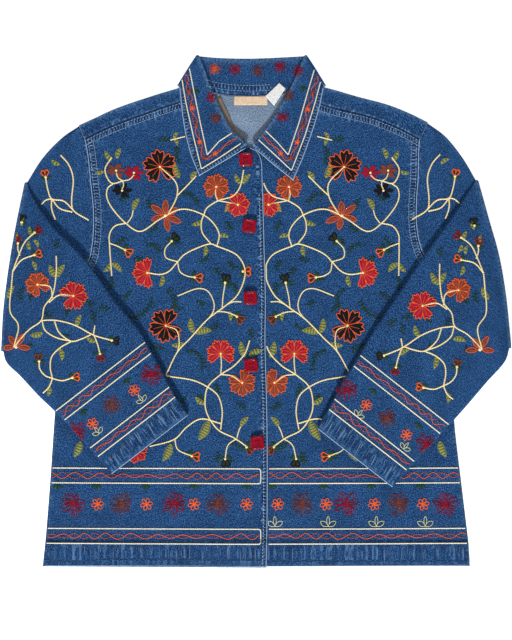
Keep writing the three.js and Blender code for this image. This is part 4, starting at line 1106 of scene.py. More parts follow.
def addBraid(work, line, amplitude, period, phase=0.0):
    # two crossing waves beside a line, uneven in width and length: one chained, one in running stitch
    look = braidLook
    line = resample(np.asarray(line, float), max(8, int(stepLengths(line).sum() / 1.1)))
    run = runAlong(line)
    aside = leftward(unit(np.gradient(line, axis=0)))
    (slow, slowLength), (quick, quickLength) = look["wander"]
    wander = slow * np.sin(run / slowLength + phase) + quick * np.sin(run / quickLength + 2 * phase)
    swell = look["swell"][0] + look["swell"][1] * np.sin(run / look["swell"][2] + phase)
    wave = amplitude * np.sin(2 * math.pi * run / period + phase + wander) * swell
    addTube(work, line + aside * wave[:, None], *look["chain"], threadColours["orange"], link=2.6, sides=5)
    other = line - aside * (wave * (look["other"][0] + look["other"][1] * np.sin(run / look["other"][2])))[:, None]
    for k in range(0, len(other) - 3, 3):
        addTube(work, other[k:k + 3], *look["running"], threadColours["orange"] * look["dim"], sides=4, spacing=1.2)


def addStitches(work, line, pitch, length, halfWidth):
    # row of separate stitches, one each pitch, thinner at their ends
    step = 0.35
    line = np.asarray(line, float)
    fine = resample(line, max(4, int(stepLengths(line).sum() / step)))
    every, long = int(round(pitch / step)), int(round(length / step))
    widths = np.array([0.6, 1, 1, 0.6]) * halfWidth
    for k in range(0, len(fine) - long, every):
        addTube(work, fine[[k, k + long // 2, k + long]], widths, 0.35, threadColours["stitch"], spacing=1.0, sides=4)


def addRungs(work, first, second, pitch):
    # short folds between two lines, as the cloth puckers between stitch rows, in turn painted highlight and painted
    # shade
    count = 2 * int(stepLengths(first).sum() / pitch)
    a, b = resample(np.asarray(first, float), count), resample(np.asarray(second, float), count)
    for k in range(1, count):
        inset = 0.06 + 0.2 * seeded.random()
        ends = np.array([a[k] + (b[k] - a[k]) * inset, b[k] + (a[k] - b[k]) * (0.06 + 0.2 * seeded.random())])
        tone = threadColours["stitch"] * (0.35 + 0.6 * seeded.random()) if k % 2 else threadColours["shadeLine"]
        addTube(work, ends, 0.55 if k % 2 else 0.8, 0.3 if k % 2 else 0.12, tone, 1.6, 4)


def addCreases(work, line, aside, pitch, reach, strength):
    # pale creases that cross a turn-up, worn and partly painted highlight, uneven in place, length and brightness
    line = np.asarray(line, float)
    count = int(stepLengths(line).sum() / pitch)
    step = (line[-1] - line[0]) / count
    widths = np.array([0.12, 0.5, 0.42, 0.12])
    for point in resample(line, count)[:-1]:
        start = point + step * seeded.random() + aside * reach * (0.02 + 0.25 * seeded.random())
        end = start + aside * reach * (0.25 + 0.5 * seeded.random()) + step * 0.3 * (seeded.random() - 0.5)
        tone = threadColours["edge"] * strength * (0.35 + 0.65 * seeded.random())
        addTube(work, [start, (start + end) / 2, end], widths, 0.25, tone, 1.8, 4)


def finishWork(work, name):
    # makes one object of all that the piece of work holds
    points, quads, triangles, colours, uv = [np.vstack(work[key])
                                             for key in ("points", "quads", "triangles", "colours", "uv")]
    trims[name] = newObject(name, points, quads, triangles, uv=uv, colours=colours)
    print("stitched", name, 2 * len(quads) + len(triangles), "triangles")


trims = {}   # the finished needlework

# Front embroidery, laid out for the right front and mirrored for the left one. Vines and twigs are lines
# of points; leaves are x, y, angle, length; sprigs x, y, to x, y, bend; clusters x, y, radius, colour
frontVines = {
    "shoulderHook": [(-195, 208), (-204, 191), (-195, 173), (-180, 176)],
    "armVine": [(-193, 172), (-200, 167), (-202, 158), (-198, 145), (-176, 119), (-157, 108), (-129, 125),
                (-100, 138), (-71, 130), (-57, 118),
                (-50, 104), (-53, 88)],
    "innerLoop": [(-71, 130), (-74, 121), (-73, 107), (-61, 91)],
    "toRust": [(-71, 130), (-67, 139), (-52, 149), (-31, 156), (-22, 168), (-17, 191)],
    "toFan": [(-119, 131), (-107, 156), (-108, 173), (-130, 195)],
    "toCollar": [(-107, 156), (-94, 169), (-81, 183)],
    "downArm": [(-176, 119), (-191, 115), (-198, 104), (-198, 91), (-195, 48)],
    "toHalfFan": [(-106, 67), (-118, 54), (-129, 50), (-146, 52)],
    "bigLoop": [(-106, 67), (-98, 76), (-81, 85), (-61, 91), (-53, 88), (-25, 75), (-15, 54), (-25, 23), (-40, 9),
                (-65, -10), (-90, -37), (-106, -54), (-122, -86)],
    "lowerVine": [(-9, -39), (-15, -56), (-31, -74), (-48, -85), (-65, -101), (-69, -117), (-67, -136), (-52, -159),
                  (-29, -171), (-13, -182)],
    "lowerLoop": [(-122, -87), (-85, -93), (-67, -101), (-52, -113), (-46, -133), (-48, -159)],
    "hemVine": [(-48, -151), (-75, -145), (-94, -156), (-110, -172), (-144, -182)],
}
frontTwigs = {
    "rustStem": [(-52, 149), (-55, 158), (-54, 168)],
    "redStem": [(-50, 149), (-38, 147), (-25, 144)],
    "collarStub": [(-116, 231), (-96, 236)],
    "budArm": [(-198, 92), (-187, 88), (-177, 83)],
    "toBlackBud": [(-106, 67), (-122, 73), (-123, 84), (-114, 95)],
    "toOrangeBud": [(-106, 67), (-103, 54), (-94, 48), (-83, 46)],
    "innerCurl": [(-63, -8), (-58, 0), (-57, 11), (-65, 27), (-77, 31), (-106, 21)],
    "blackTwig": [(-46, 3), (-45, 19), (-42, 38)],
    "buttonTwig": [(-40, 9), (-31, 13), (-20, 13)],
    "brownTwig": [(-52, 0), (-40, -1), (-27, -6)],
    "fanStem": [(-122, -20), (-108, -25), (-104, -40), (-106, -54)],
    "redDrop": [(-48, -56), (-47, -71), (-48, -85)],
    "rustDrop": [(-48, -85), (-33, -87), (-19, -97)],
    "orangeDrop": [(-110, -172), (-106, -186), (-87, -195)],
    "blackDrop": [(-26, -171), (-38, -180), (-42, -198)],
    "clusterA": [(-180, 176), (-186, 180), (-189, 187)],
    "clusterB": [(-180, 176), (-171, 178), (-165, 184)],
    "clusterC": [(-180, 176), (-179, 170), (-181, 165)],
    "leafStemA": [(-174, 119), (-168, 128), (-166, 137)],
    "leafStemB": [(-26, -170), (-24, -162), (-21, -155)],
}
frontLeaves = [(-195, 204, 125, 13), (-188, 206, 70, 13), (-166, 137, 62, 15), (-196, 65, -130, 13),
               (-195, 65, -42, 15),
               (-126, 48, -105, 13), (-68, 88, -100, 12), (-73, 122, 200, 13), (-21, 172, 118, 13),
               (-18, 172, 52, 14),
               (-85, -29, 100, 17), (-83, -29, 8, 20), (-15, -62, 105, 19), (-10, -60, 22, 17), (-69, -125, 145, 14),
               (-64, -148, -118, 25), (-21, -155, 50, 14), (-115, -179, -115, 22), (-206, 189, 190, 10),
               (-38, 146, 250, 11), (-50, 102, -10, 11), (-37, 0, -80, 11), (-98, -43, 190, 14),
               (-237, -175, -112, 20), (-104, 180, 108, 18), (-88, 178, 52, 12), (-111, 233, 55, 9),
               (-111, 233, -65, 9)]
frontSprigs = [(-148, 91, -129, 80, 2), (-195, 46, -195, 31, 0), (-169, 26, -179, 17, 0), (-173, -9, -141, 14, -5),
               (-121, 26, -114, 27, 1), (-111, 23, -110, 7, 0), (-189, 88, -179, 99, 0), (-92, -52, -73, -79, 6),
               (-54, -98, -50, -112, 0), (-7, -36, -7, -25, 0), (-79, -112, -72, -120, 0), (-95, -190, -84, -198, 1),
               (-50, -190, -54, -203, 0), (-33, -179, -22, -182, 1), (-144, 107, -133, 115, 0),
               (-95, 156, -100, 164, 0),
               (-41, 121, -33, 110, 0), (-165, 72, -154, 67, 1), (-76, 67, -65, 72, 0), (-38, 67, -30, 58, 0),
               (-79, 15, -71, 7, 0), (-63, -25, -52, -17, -1), (-114, 7, -103, 2, 0), (-27, -125, -14, -133, 1),
               (-114, -125, -95, -117, -2), (-141, 137, -146, 150, 0), (-57, 58, -49, 50, 0),
               (-184, 150, -173, 156, 0),
               (-132, 233, -118, 231, 0), (-106, 222, -104, 201, -2), (-92, 160, -78, 146, 0),
               (-143, -45, -128, -52, 0),
               (-214, 20, -214, 4, 0), (-30, 38, -27, 26, 0)]
# Fans and lilies are x, y, facing, spread, radius, petals, filling, outline; buds x, y, angle, colour
frontFans = [(-130, 195, 100, 330, 24, 5, "black", "orange"), (-122, -19, 195, 320, 24, 5, "black", "orange"),
             (-54, 168, 80, 340, 18, 7, "rust", "orange"), (-19, -96, -60, 330, 19, 6, "rust", "orange"),
             (-25, 144, -20, 340, 17, 6, "red", "orange"), (-48, -57, 90, 280, 20, 6, "red", "orange"),
             (-147, 52, 182, 230, 21, 5, "red", "orange"), (-163, -188, -70, 220, 17, 4, "red", "orange")]
frontLilies = [(-123, 129, 60, 330, 19, 6, "rust", "orange")]
frontClusters = [(-189, 190, 12, "rust"), (-165, 187, 12.5, "crimson"), (-181, 163, 12.5, "black")]
frontBuds = [(-177, 83, -35, "orange"), (-83, 46, -8, "orange"), (-87, -195, -8, "orange"), (-18, 54, 0, "orange"),
             (-114, 95, 45, "black"), (-42, 39, 80, "black"), (-42, -199, -85, "black"), (-26, -7, -40, "brown"),
             (-13, -183, -40, "brown")]
# Hem band: y of its lines and braids with their periods, and for each motif y and the x of each one; a
# motif left of middle is on the right front. sag is how much lower the lines lie at the front edge
hemBand = {"lines": (-211, -231, -292.5, -312.5), "braids": ((-221, 31), (-302.5, 34)), "sag": 1.2, "middle": 16,
           "motifs": {"crimson": (-260, (-247, -110, 122, 255)), "rust": (-260, (-181, -52, 62, 192)),
                      "small": (-260, (-214, -148, -84, -13, 29, 94, 159, 225)),
                      "sprigs": (-233, (-268, -215, -150, -84, -13, 21, 91, 155, 222)),
                      "lotus": (-290, (25, 97, 162, 228))},
           "sizes": {"crimson": 17, "rust": 16, "small": 8.5, "sprigs": 9, "lotus": 13}, "end": 6.0}


def mirrorX(x, y):
    # x mirrored on a line that leans a little, as the jacket lies
    return 2 * (-5.8 + (197 - y) * 0.0294) - x


def mirroredTurn(side, angle):
    # an angle in degrees as laid out for the right side, or mirrored for the left
    return 180 - angle if side == "left" else angle


def lapLine(y):
    # x of the lapping front's edge, which hides what lies left of it
    return edgeX("lapEdge", y)


def stitchFront(side):
    # the scattered motifs of one front; on the left one, those that the lap hides are left out
    mirrored = side == "left"
    work = startWork("front_" + side, lapLine if mirrored else None)
    sign = -1 if mirrored else 1

    def place(x, y):
        # a point of the layout on this side
        return (mirrorX(x, y), y) if mirrored else (x, y)

    def shows(x, y, margin):
        # true right of the lap's edge, and everywhere on the right front
        return not mirrored or x > lapLine(y) + margin

    for row in frontSprigs:
        (x1, y1), (x2, y2) = place(*row[:2]), place(*row[2:4])
        if shows(x1, y1, 3):
            addSprig(work, x1, y1, x2, y2, sign * row[4])
    for table, halfWidth in ((frontVines, 1.2), (frontTwigs, 1.05)):
        for points in table.values():
            addVine(work, [place(*point) for point in points], halfWidth)
    for x, y, angle, length in frontLeaves:
        px, py = place(x, y)
        if shows(px, py, 4):
            addLeaf(work, px, py, mirroredTurn(side, angle), length, bend=sign * 1.5)
    for add, table in ((addFan, frontFans), (addLily, frontLilies)):
        for x, y, facing, spread, reach, petals, fill, outline in table:
            add(work, *place(x, y), mirroredTurn(side, facing), spread, reach, petals,
                threadColours[fill], threadColours[outline])
    for x, y, radius, colour in frontClusters:
        px, py = place(x, y)
        addCluster(work, px, py, radius, threadColours[colour])
        addKnot(work, px, py, 1.8, threadColours["cream"], 1.2)
    for x, y, angle, colour in frontBuds:
        px, py = place(x, y)
        if shows(px, py, 3):
            addBud(work, px, py, mirroredTurn(side, angle), threadColours[colour])
            addSprig(work, px + 3, py + 2, px + 8, py - 5, 1)
    finishWork(work, "embroidery_front_" + side)


def addBandMotifs(work, places, sizes, leafTurn, lotusTurn):
    # the motifs of a band at their places: ragged flowers, rings of loops, leaves and lotus
    for colour in ("crimson", "rust"):
        for x, y in places[colour]:
            addSketchFlower(work, x, y, sizes[colour], threadColours[colour])
    for x, y in places["small"]:
        addLoopFlower(work, x, y, sizes["small"], threadColours["orange"])
    for x, y in places["sprigs"]:
        addThreeLeaves(work, x, y, sizes["sprigs"], leafTurn)
    for x, y in places["lotus"]:
        addLotus(work, x, y, sizes["lotus"], lotusTurn)


def stitchHem(side):
    # the band above the hem: two pairs of lines, closed round the front edge on the right, with a
    # braid in each and the motifs between them
    mirrored = side == "left"
    work = startWork("front_" + side, lapLine if mirrored else None)
    outer = np.array(outlines[side + "Side"], float)
    sag, end = hemBand["sag"], hemBand["end"]

    def sideX(y):
        # x just inside the side seam
        return float(np.interp(y, outer[:, 1], outer[:, 0])) + (-2 if mirrored else 2)

    def addLine(line):
        # a line of chain stitch
        addTube(work, line, 1.0, 0.8, threadColours["line"], link=2.7)

    for top, low in (hemBand["lines"][:2], hemBand["lines"][2:]):
        if mirrored:
            for y in (top, low):
                addLine(spacedLine([(sideX(y), y), (150, y - sag * 0.6), (lapLine(y) + 2, y - sag)], 60))
        else:
            line = [(sideX(top), top), (-140, top - sag * 0.6), (end - 3, top - sag)]
            back = [(end - 3, low - sag), (-140, low - sag * 0.6), (sideX(low), low)]
            corner = np.array([line[-1], (end - 0.6, top - sag - 0.8), (end, top - sag - 4)])
            down = np.array([(end, top - sag - 4), (end, low - sag + 4), (end - 0.6, low - sag + 0.8), back[0]])
            addLine(joined(spacedLine(line, 60), corner, down, spacedLine(back, 60)))
    for y, period in hemBand["braids"]:
        start, stop = (lapLine(y) + 2, sideX(y)) if mirrored else (sideX(y), 3.5)
        braid = [(start, y), ((start + stop) / 2, y - 1), (stop, y if mirrored else y - sag)]
        addBraid(work, braid, 3.9, period, y / 40)
    places = {key: [(x, y) for x in row if (x > hemBand["middle"]) == mirrored]
              for key, (y, row) in hemBand["motifs"].items()}
    addBandMotifs(work, places, hemBand["sizes"], -90.0, 90.0)
    finishWork(work, "hem_band_" + side)


# Sleeve embroidery, laid out for the right sleeve and mirrored for the left one, in rows as above
sleeveVines = {
    "edgeVine": [(-328, 54), (-329.5, 36), (-331, -1), (-320, -18), (-326, -48)],
    "topA": [(-328, 54), (-320, 75), (-311, 94), (-298, 106)],
    "topB": [(-328, 54), (-316, 69), (-298, 76)],
    "topC": [(-318, 75), (-321, 84), (-321, 92)],
    "middle": [(-269, 75), (-269, 52), (-274, 22), (-285, 6), (-289, -12), (-306, -25), (-326, -48)],
    "redStem": [(-279, 12), (-265, 22), (-247, 21)],
    "rustStem": [(-274, 18), (-277, 33), (-294, 36)],
    "lower": [(-289, -12), (-269, -12), (-245, -18), (-218, -32), (-194, -39)],
    "lowerDrop": [(-218, -32), (-213, -45), (-210, -57)],
    "loopA": [(-288, -12), (-284, -25), (-269, -35), (-248, -40)],
    "loopB": [(-271, -13), (-265, -28), (-248, -40), (-235, -37), (-222, -31)],
    "lowerTwig": [(-219, -32), (-217, -19)],
    "cuffVine": [(-248, -40), (-264, -49), (-275, -61), (-277, -74), (-274, -90)],
    "cuffTwigA": [(-274, -90), (-284, -86), (-291, -77), (-292, -67)],
    "cuffTwigB": [(-274, -90), (-261, -93), (-247, -89)],
    "cuffTail": [(-274, -90), (-279, -102), (-287, -110)],
}
upperVines = {"armLoop": [(-264, 211), (-253, 198), (-247, 180), (-249, 150), (-247, 137), (-226, 123)],
              "armBase": [(-284, 180), (-281, 164), (-276, 152), (-260, 149), (-247, 137)],
              "armTwigA": [(-276, 152), (-284, 150), (-290, 144)],
              "armTwigB": [(-276, 152), (-276, 139), (-271, 124)],
              "armTwigC": [(-276, 152), (-265, 139), (-248, 134)]}
sleeveLeaves = [(-269, 46, 118, 16), (-268, 46, 58, 17), (-287, -29, 190, 15), (-335, 18, 60, 16),
                (-301, 102, 110, 11),
                (-299, 96, -60, 10), (-304, 83, 100, 10), (-301, 67, -70, 11), (-316, 115, 70, 9), (-324, 96, 95, 9),
                (-216, -41, 150, 12), (-264, -50, -80, 14), (-279, -100, -95, 12), (-241, -20, 70, 14),
                (-265, 198, 150, 11)]
sleeveSprigs = [(-269, 84, -269, 94, 0), (-276, -8, -284, -1, 0), (-218, -14, -219, -1, 0), (-306, 15, -300, 26, 0),
                (-257, -4, -249, 7, 0), (-233, 15, -222, 7, 1), (-311, -52, -303, -44, 0), (-262, -39, -254, -31, 0),
                (-211, 6, -200, 2, 0), (-319, 15, -316, 29, 0)]
sleeveFans = [(-294, 36, 120, 330, 17, 7, "rust", "orange"), (-246, 21, 20, 330, 20, 6, "red", "orange")]
sleeveLilies = [(-323, -48, 90, 250, 17, 4, "rust", "orange")]
sleeveBuds = [(-298, 106, 30, "crimson"), (-298, 76, 15, "orange"), (-316, 120, 80, "black"),
              (-194, -39, -10, "black"),
              (-210, -57, -80, "crimson"), (-292, -67, 100, "rust"), (-247, -89, 10, "orange"),
              (-321, 92, 100, "crimson"),
              (-284, 181, 100, "orange")]
# Cuff band: distances of its lines and braids from the cuff's edge, and the places of its motifs
sleeveBand = {"lines": (30.6, 46, 97, 113.6), "braids": (38.3, 105.3),
              "sizes": {"crimson": 14.5, "rust": 13, "small": 8, "sprigs": 8.5, "lotus": 10}}
bandFlowers = {
    "right": {"crimson": [(-141, -85), (-242, -162)], "rust": [(-194, -126)], "small": [(-164, -106), (-220, -151)],
              "sprigs": [(-176, -91), (-234, -133)], "lotus": [(-152, -121), (-211, -164)]},
    "left": {"crimson": [(122, -106), (228, -179)], "rust": [(176, -144)], "small": [(148, -126), (202, -166)],
             "sprigs": [(159, -105), (220, -151)], "lotus": [(136, -141), (198, -185)]},
}


def elbowEdge(side):
    # x of the sleeve's outer outline at a height: upper arm, elbow fold, forearm
    shape = sleeveOutlines[side]
    line = joined(spacedLine(shape["upperNear"], 20), spacedLine(shape["elbow"], 20),
                  spacedLine(shape["foreFar"], 30))[::-1]
    return lambda y: np.interp(y, line[:, 1], line[:, 0])


def stitchSleeve(side):
    # the vines and motifs of one sleeve, then the band across its forearm
    mirrored = side == "left"
    outer = elbowEdge(side)
    work = startWork("sleeve_" + side, None if mirrored else outer, outer if mirrored else None)
    shape = sleeveOutlines[side]

    def place(x, y):
        # the left sleeve lies a little lower towards the cuff
        return (-22.4 - x, y - 4 - 0.13 * (x + 319)) if mirrored else (x, y)

    def placeUpper(x, y):
        # a point above the elbow, where the sleeves are mirrored straight
        return (-16 - x, y + 1) if mirrored else (x, y)

    def placeEither(x, y):
        # a motif's place, above the elbow or below it
        return (placeUpper if y > 150 else place)(x, y)

    for row in sleeveSprigs:
        addSprig(work, *place(*row[:2]), *place(*row[2:4]), row[4])
    for table, placed, halfWidth in ((sleeveVines, place, 1.2), (upperVines, placeUpper, 1.25)):
        for points in table.values():
            addVine(work, [placed(*point) for point in points], halfWidth)
    for x, y, angle, length in sleeveLeaves:
        addLeaf(work, *placeEither(x, y), mirroredTurn(side, angle), length)
    for add, table in ((addFan, sleeveFans), (addLily, sleeveLilies)):
        for x, y, facing, spread, reach, petals, fill, outline in table:
            add(work, *place(x, y), mirroredTurn(side, facing), spread, reach, petals,
                threadColours[fill], threadColours[outline])
    for x, y, angle, colour in sleeveBuds:
        addBud(work, *placeEither(x, y), mirroredTurn(side, angle), threadColours[colour], 9)

    near, far = spacedLine(shape["foreNear"], 90), spacedLine(shape["foreFar"], 90)
    corner, end = near[-1], far[-1]
    across = (end - corner) / np.linalg.norm(end - corner)
    upArm = np.array([-across[1], across[0]])
    if upArm @ (near[0] - corner) < 0:
        upArm = -upArm

    def crossLine(distance, inset):
        # the line across the forearm at a distance from the cuff's edge
        found = []
        for edge in (near, far):
            height = (edge - corner) @ upArm
            found.append(np.array([np.interp(distance, height[::-1], edge[::-1, k]) for k in (0, 1)]))
        return np.array([found[0] + across * inset, found[1] - across * inset])

    for distance in sleeveBand["lines"]:
        addTube(work, resample(crossLine(distance, 2.0), 40), 1.0, 0.75, threadColours["line"], link=2.7)
    for distance in sleeveBand["braids"]:
        addBraid(work, crossLine(distance, 3.5), 3.4, 26, distance / 30)
    out = math.degrees(math.atan2(upArm[1], upArm[0]))
    addBandMotifs(work, bandFlowers[side], sleeveBand["sizes"], out + 180, out)
    finishWork(work, "embroidery_sleeve_" + side)


# Collar: edges that carry a ridge and stitches, lines of chain stitch, and flowers by colour
collarEdges = {"right": [(-104, 302), (-98, 250), (-89, 212), (-77, 182)],
               "rightFront": [(-77, 182), (-46, 200), (-14, 219)],
               "left": [(91, 301), (85, 272), (75, 239), (63, 206), (50, 176)],
               "leftFront": [(50, 176), (24, 196), (-3, 219)]}
collarFlowers = {"orange": [(-56, 327)], "crimson": [(-29, 326), (32, 330), (56, 324), (-61, 288), (35, 261)],
                 "rust": [(2, 324), (-54, 260), (43, 291)]}


collarLines = {"outerRight": [(-100, 312), (-95, 282), (-85.5, 239), (-74, 192), (-48, 208), (-21, 226)],
               "innerRight": [(-90, 327), (-84, 296), (-75, 252), (-66, 211), (-50, 229), (-33, 240)],
               "outerLeft": [(86.5, 309), (79, 281), (66, 238), (47.5, 190), (26, 210), (3, 231)],
               "innerLeft": [(78, 325), (70, 298), (57.5, 254), (43, 211), (28, 228), (12.5, 243)]}


def stitchCollar():
    # lines along the collar's edges, a braid with small flowers between them, and flowers on the leaf
    work = startWork("collar")
    lines = {name: np.array(points, float) for name, points in collarLines.items()}
    for points in lines.values():
        addTube(work, resample(points, 120), 0.95, 0.7, threadColours["line"], link=2.7)
    for half in ("Right", "Left"):
        middle = (resample(lines["outer" + half], 60) + resample(lines["inner" + half], 60)) / 2
        addBraid(work, middle, 2.8, 30)
        for k in range(8, 56, 8):
            addLoopFlower(work, *middle[k], 3.4, threadColours["rust" if k % 16 else "orange"], 5)
    for colour, places in collarFlowers.items():
        for x, y in places:
            addSketchFlower(work, x, y, 8.8, threadColours[colour], 6, 2)
    for x, y in ((-81, 299), (64, 303)):
        addThreeLeaves(work, x, y, 8, -100)
    finishWork(work, "embroidery_collar")


# Distances in mm from each edge or seam to its line of painted shade, rows of stitches and the puckers, in painted
# highlight and shade, between them
seamLook = {"armhole": {"ridge": 0.8, "shadeLine": 2.4, "rows": (4.0, 11.0), "rungs": (4.6, 10.4)},
            "shoulder": {"shadeLine": 1.4, "rows": (3.0, 10.0), "rungs": (3.6, 9.4)},
            "lap": {"ridge": 0.8, "shadeLine": 2.6, "row": 5.6, "rungs": (1.8, 6.6)},
            "hem": {"right": [(-286, -343.4), (12.5, -344.6)], "left": [(16, -344.6), (287, -343)],
                    "deep": 29.5, "pitch": 8.5, "reach": 28},
            "cuff": {"ridge": 0.9, "deep": 29, "pitch": 7.0, "reach": 28},
            "collar": {"rungs": (1.9, 6.6), "seam": [(-68, 303), (-45, 298.5), (-10, 296), (22, 297.5)],
                       "rows": (1.0, 8.5), "seamRungs": (1.6, 7.6), "leaf": {"left": (46, 235), "right": (-72, 240)}}}


def addRidge(work, line, spacing=2.0, halfWidth=0.6, height=0.6):
    # the pale ridge along an edge, worn and partly a painted highlight
    addTube(work, line, halfWidth, height, threadColours["edge"], spacing=spacing, sides=5)


def addShadeLine(work, line, spacing=2.0, halfWidth=0.55):
    # a dark line of painted shade beside an edge or seam
    addTube(work, line, halfWidth, 0.2, threadColours["shadeLine"], spacing=spacing, sides=4)


def stitchSeams(side):
    # ridges, worn and partly painted highlight, lines of painted shade, topstitching and puckers in painted highlight
    # and shade of one front
    work = startWork("front_" + side, lapLine if side == "left" else None)
    look = seamLook["armhole"]
    addRidge(work, besideArmhole(side, look["ridge"]), height=0.5)
    shoulder = spacedLine(outlines[side + "ShoulderSeam"], 60)
    for look, moved in ((look, lambda offset: besideArmhole(side, offset)),
                        (seamLook["shoulder"], lambda offset: shoulder - (0, offset))):
        addShadeLine(work, moved(look["shadeLine"]))
        addStitches(work, moved(look["rows"][0]), 4.4, 2.8, 0.6)
        addStitches(work, moved(look["rows"][1]), 3.6, 2.8, 0.5)
        addRungs(work, moved(look["rungs"][0]), moved(look["rungs"][1]), 4.2)
    if side == "right":
        look, lap = seamLook["lap"], spacedLine(outlines["lapEdge"], 260)
        addRidge(work, lap - (look["ridge"], 0), halfWidth=0.62)
        addStitches(work, lap[:-30] - (look["row"], 0), 4.7, 2.7, 0.8)
        addShadeLine(work, lap[:-30] - (look["shadeLine"], 0), 3.0, 0.5)
        addRungs(work, lap[:-34] - (look["rungs"][0], 0), lap[:-34] - (look["rungs"][1], 0), 4.7)
    look = seamLook["hem"]
    hem = np.array(look[side], float)
    # a pale line along the hem's fold: wear and partly painted highlight
    addTube(work, hem + (0, 1), 0.4, 0.4, threadColours["edge"], spacing=3.0, sides=4)
    addCreases(work, hem + (0, look["deep"]), np.array([0, -1.0]), look["pitch"], look["reach"], 0.7)
    finishWork(work, "stitching_front_" + side)


def stitchCuff(side):
    # the ridge and creases of one cuff, pale as wear and partly as painted highlight
    work, shape, look = startWork("sleeve_" + side), sleeveOutlines[side], seamLook["cuff"]
    cuff = resample(np.array([shape["foreNear"][-1], shape["foreFar"][-1]], float), 40)
    inward = np.array(shape["foreNear"][-2], float) - shape["foreNear"][-1]
    inward /= np.linalg.norm(inward)
    addRidge(work, cuff + inward * look["ridge"])
    addCreases(work, cuff[2:-2] + inward * look["deep"], -inward, look["pitch"], look["reach"], 1.0)
    finishWork(work, "stitching_sleeve_" + side)


def stitchCollarEdges():
    # ridges, worn and partly painted highlight, and puckers in painted highlight and shade of the collar's edges, and
    # the stitched seam at the back of the neck
    work, look = startWork("collar"), seamLook["collar"]
    for name, points in collarEdges.items():
        line = spacedLine(points, 50)
        inward = unit(leftward(np.gradient(line, axis=0)))
        leafMiddle = look["leaf"]["left" if "left" in name else "right"]
        inward *= 1 if inward[25] @ (leafMiddle - line[25]) > 0 else -1
        addRidge(work, line + inward, halfWidth=0.62)
        low, high = [line[3:-3] + distance * inward[3:-3] for distance in look["rungs"]]
        addRungs(work, low, high, 4.2)
    seam = spacedLine(look["seam"], 50)
    for offset in look["rows"]:
        addStitches(work, seam + (0, offset), 4.2, 2.8, 0.5)
    addRungs(work, seam + (0, look["seamRungs"][0]), seam + (0, look["seamRungs"][1]), 4.6)
    finishWork(work, "stitching_collar")


# Rim and thread bars of a button: reach of its rounded square, whose exponent is power, and the bars' places
buttonLook = {"reach": 7.4, "power": 5, "rim": (1.35, 0.75), "barOffset": 2.6, "barHalf": 2.4, "bar": (86, 6, 20)}


def threadButtons():
    # raised rims, of radius reach/(|cos|^p + |sin|^p)^(1/p), and two bars of thread through each
    # button's holes
    look = buttonLook
    rims, bars = [startWork("front_right") for _ in range(2)]
    for number, (x, y, turn) in enumerate(buttonPlaces, 1):
        topZ = float(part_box("button_%d" % number)[1][2]) * 1000
        for work in (rims, bars):
            work["height"] = lambda px, py, z=topZ: z + 0 * px
        t = np.linspace(0, 2 * math.pi, 61)[:-1]
        c, s = np.cos(t), np.sin(t)
        reach = look["reach"] / (np.abs(c) ** look["power"] + np.abs(s) ** look["power"]) ** (1 / look["power"])
        a = math.radians(turn)
        ring = np.column_stack([x + reach * (c * math.cos(a) - s * math.sin(a)),
                                y + reach * (c * math.sin(a) + s * math.cos(a))])
        addTube(rims, ring, *look["rim"], threadColours["crimson"], closed=True, sides=10, lift=-0.2)
        ahead, aside = heading(turn) * look["barHalf"], heading(turn + 90)
        for offset in (-look["barOffset"], look["barOffset"]):
            middle = np.array([x, y]) + aside * offset
            addTube(bars, [middle - ahead, middle, middle + ahead], 0.42, 0.3, toLinear(look["bar"]), link=1.6)
    finishWork(rims, "button_rims")
    finishWork(bars, "button_threads")


for side in ("right", "left"):
    stitchFront(side)
    stitchHem(side)
    stitchSleeve(side)
stitchCollar()
for side in ("right", "left"):
    stitchSeams(side)
    stitchCuff(side)
stitchCollarEdges()
threadButtons()


def addNode(tree, kind, inputs=None, **settings):
    # a shader node with its settings; an input is a value or the socket that feeds it
    node = tree.nodes.new(kind)
    for key, value in settings.items():
        setattr(node, key, value)
    for key, value in (inputs or {}).items():
        if isinstance(value, bpy.types.NodeSocket):
            tree.links.new(value, node.inputs[key])
        else:
            node.inputs[key].default_value = value
    return node


def math2(tree, operation, a, b=0.5, clamp=False):
    # one arithmetic step between two values
    return addNode(tree, "ShaderNodeMath", {0: a, 1: b}, operation=operation, use_clamp=clamp).outputs[0]


def mixColour(tree, factor, a, b, blend="MIX"):
    # colour a blended towards b by a factor
    node = addNode(tree, "ShaderNodeMix", {0: factor, 6: a, 7: b}, data_type="RGBA", blend_type=blend)
    return node.outputs[2]


def remap(tree, value, low, high, first=0.0, last=1.0):
    # a value from low..high to first..last, held at both ends
    return addNode(tree, "ShaderNodeMapRange", {0: value, 1: low, 2: high, 3: first, 4: last}).outputs[0]


def noiseOf(tree, vector, scale, detail, roughness=0.5):
    # fractal noise read at a vector
    return addNode(tree, "ShaderNodeTexNoise", {"Vector": vector, "Scale": scale, "Detail": detail,
                                                "Roughness": roughness}).outputs[0]


def stretched(tree, vector, scale):
    # a vector with each of its coordinates multiplied
    return addNode(tree, "ShaderNodeMapping", {"Vector": vector, "Scale": scale}).outputs[0]


def bandsOf(tree, vector, scale, distortion, direction, **more):
    # straight bands across a vector, bent a little
    inputs = {"Vector": vector, "Scale": scale, "Distortion": distortion, **more}
    return addNode(tree, "ShaderNodeTexWave", inputs, wave_type="BANDS", bands_direction=direction).outputs["Fac"]


def bumpOf(tree, height, strength, distance, **more):
    # a normal tilted by a height
    return addNode(tree, "ShaderNodeBump", {"Height": height, "Strength": strength, "Distance": distance,
                                            **more}).outputs[0]


def linear(rgb):
    # a colour socket's value from sRGB 0-255
    return (*toLinear(rgb).tolist(), 1.0)


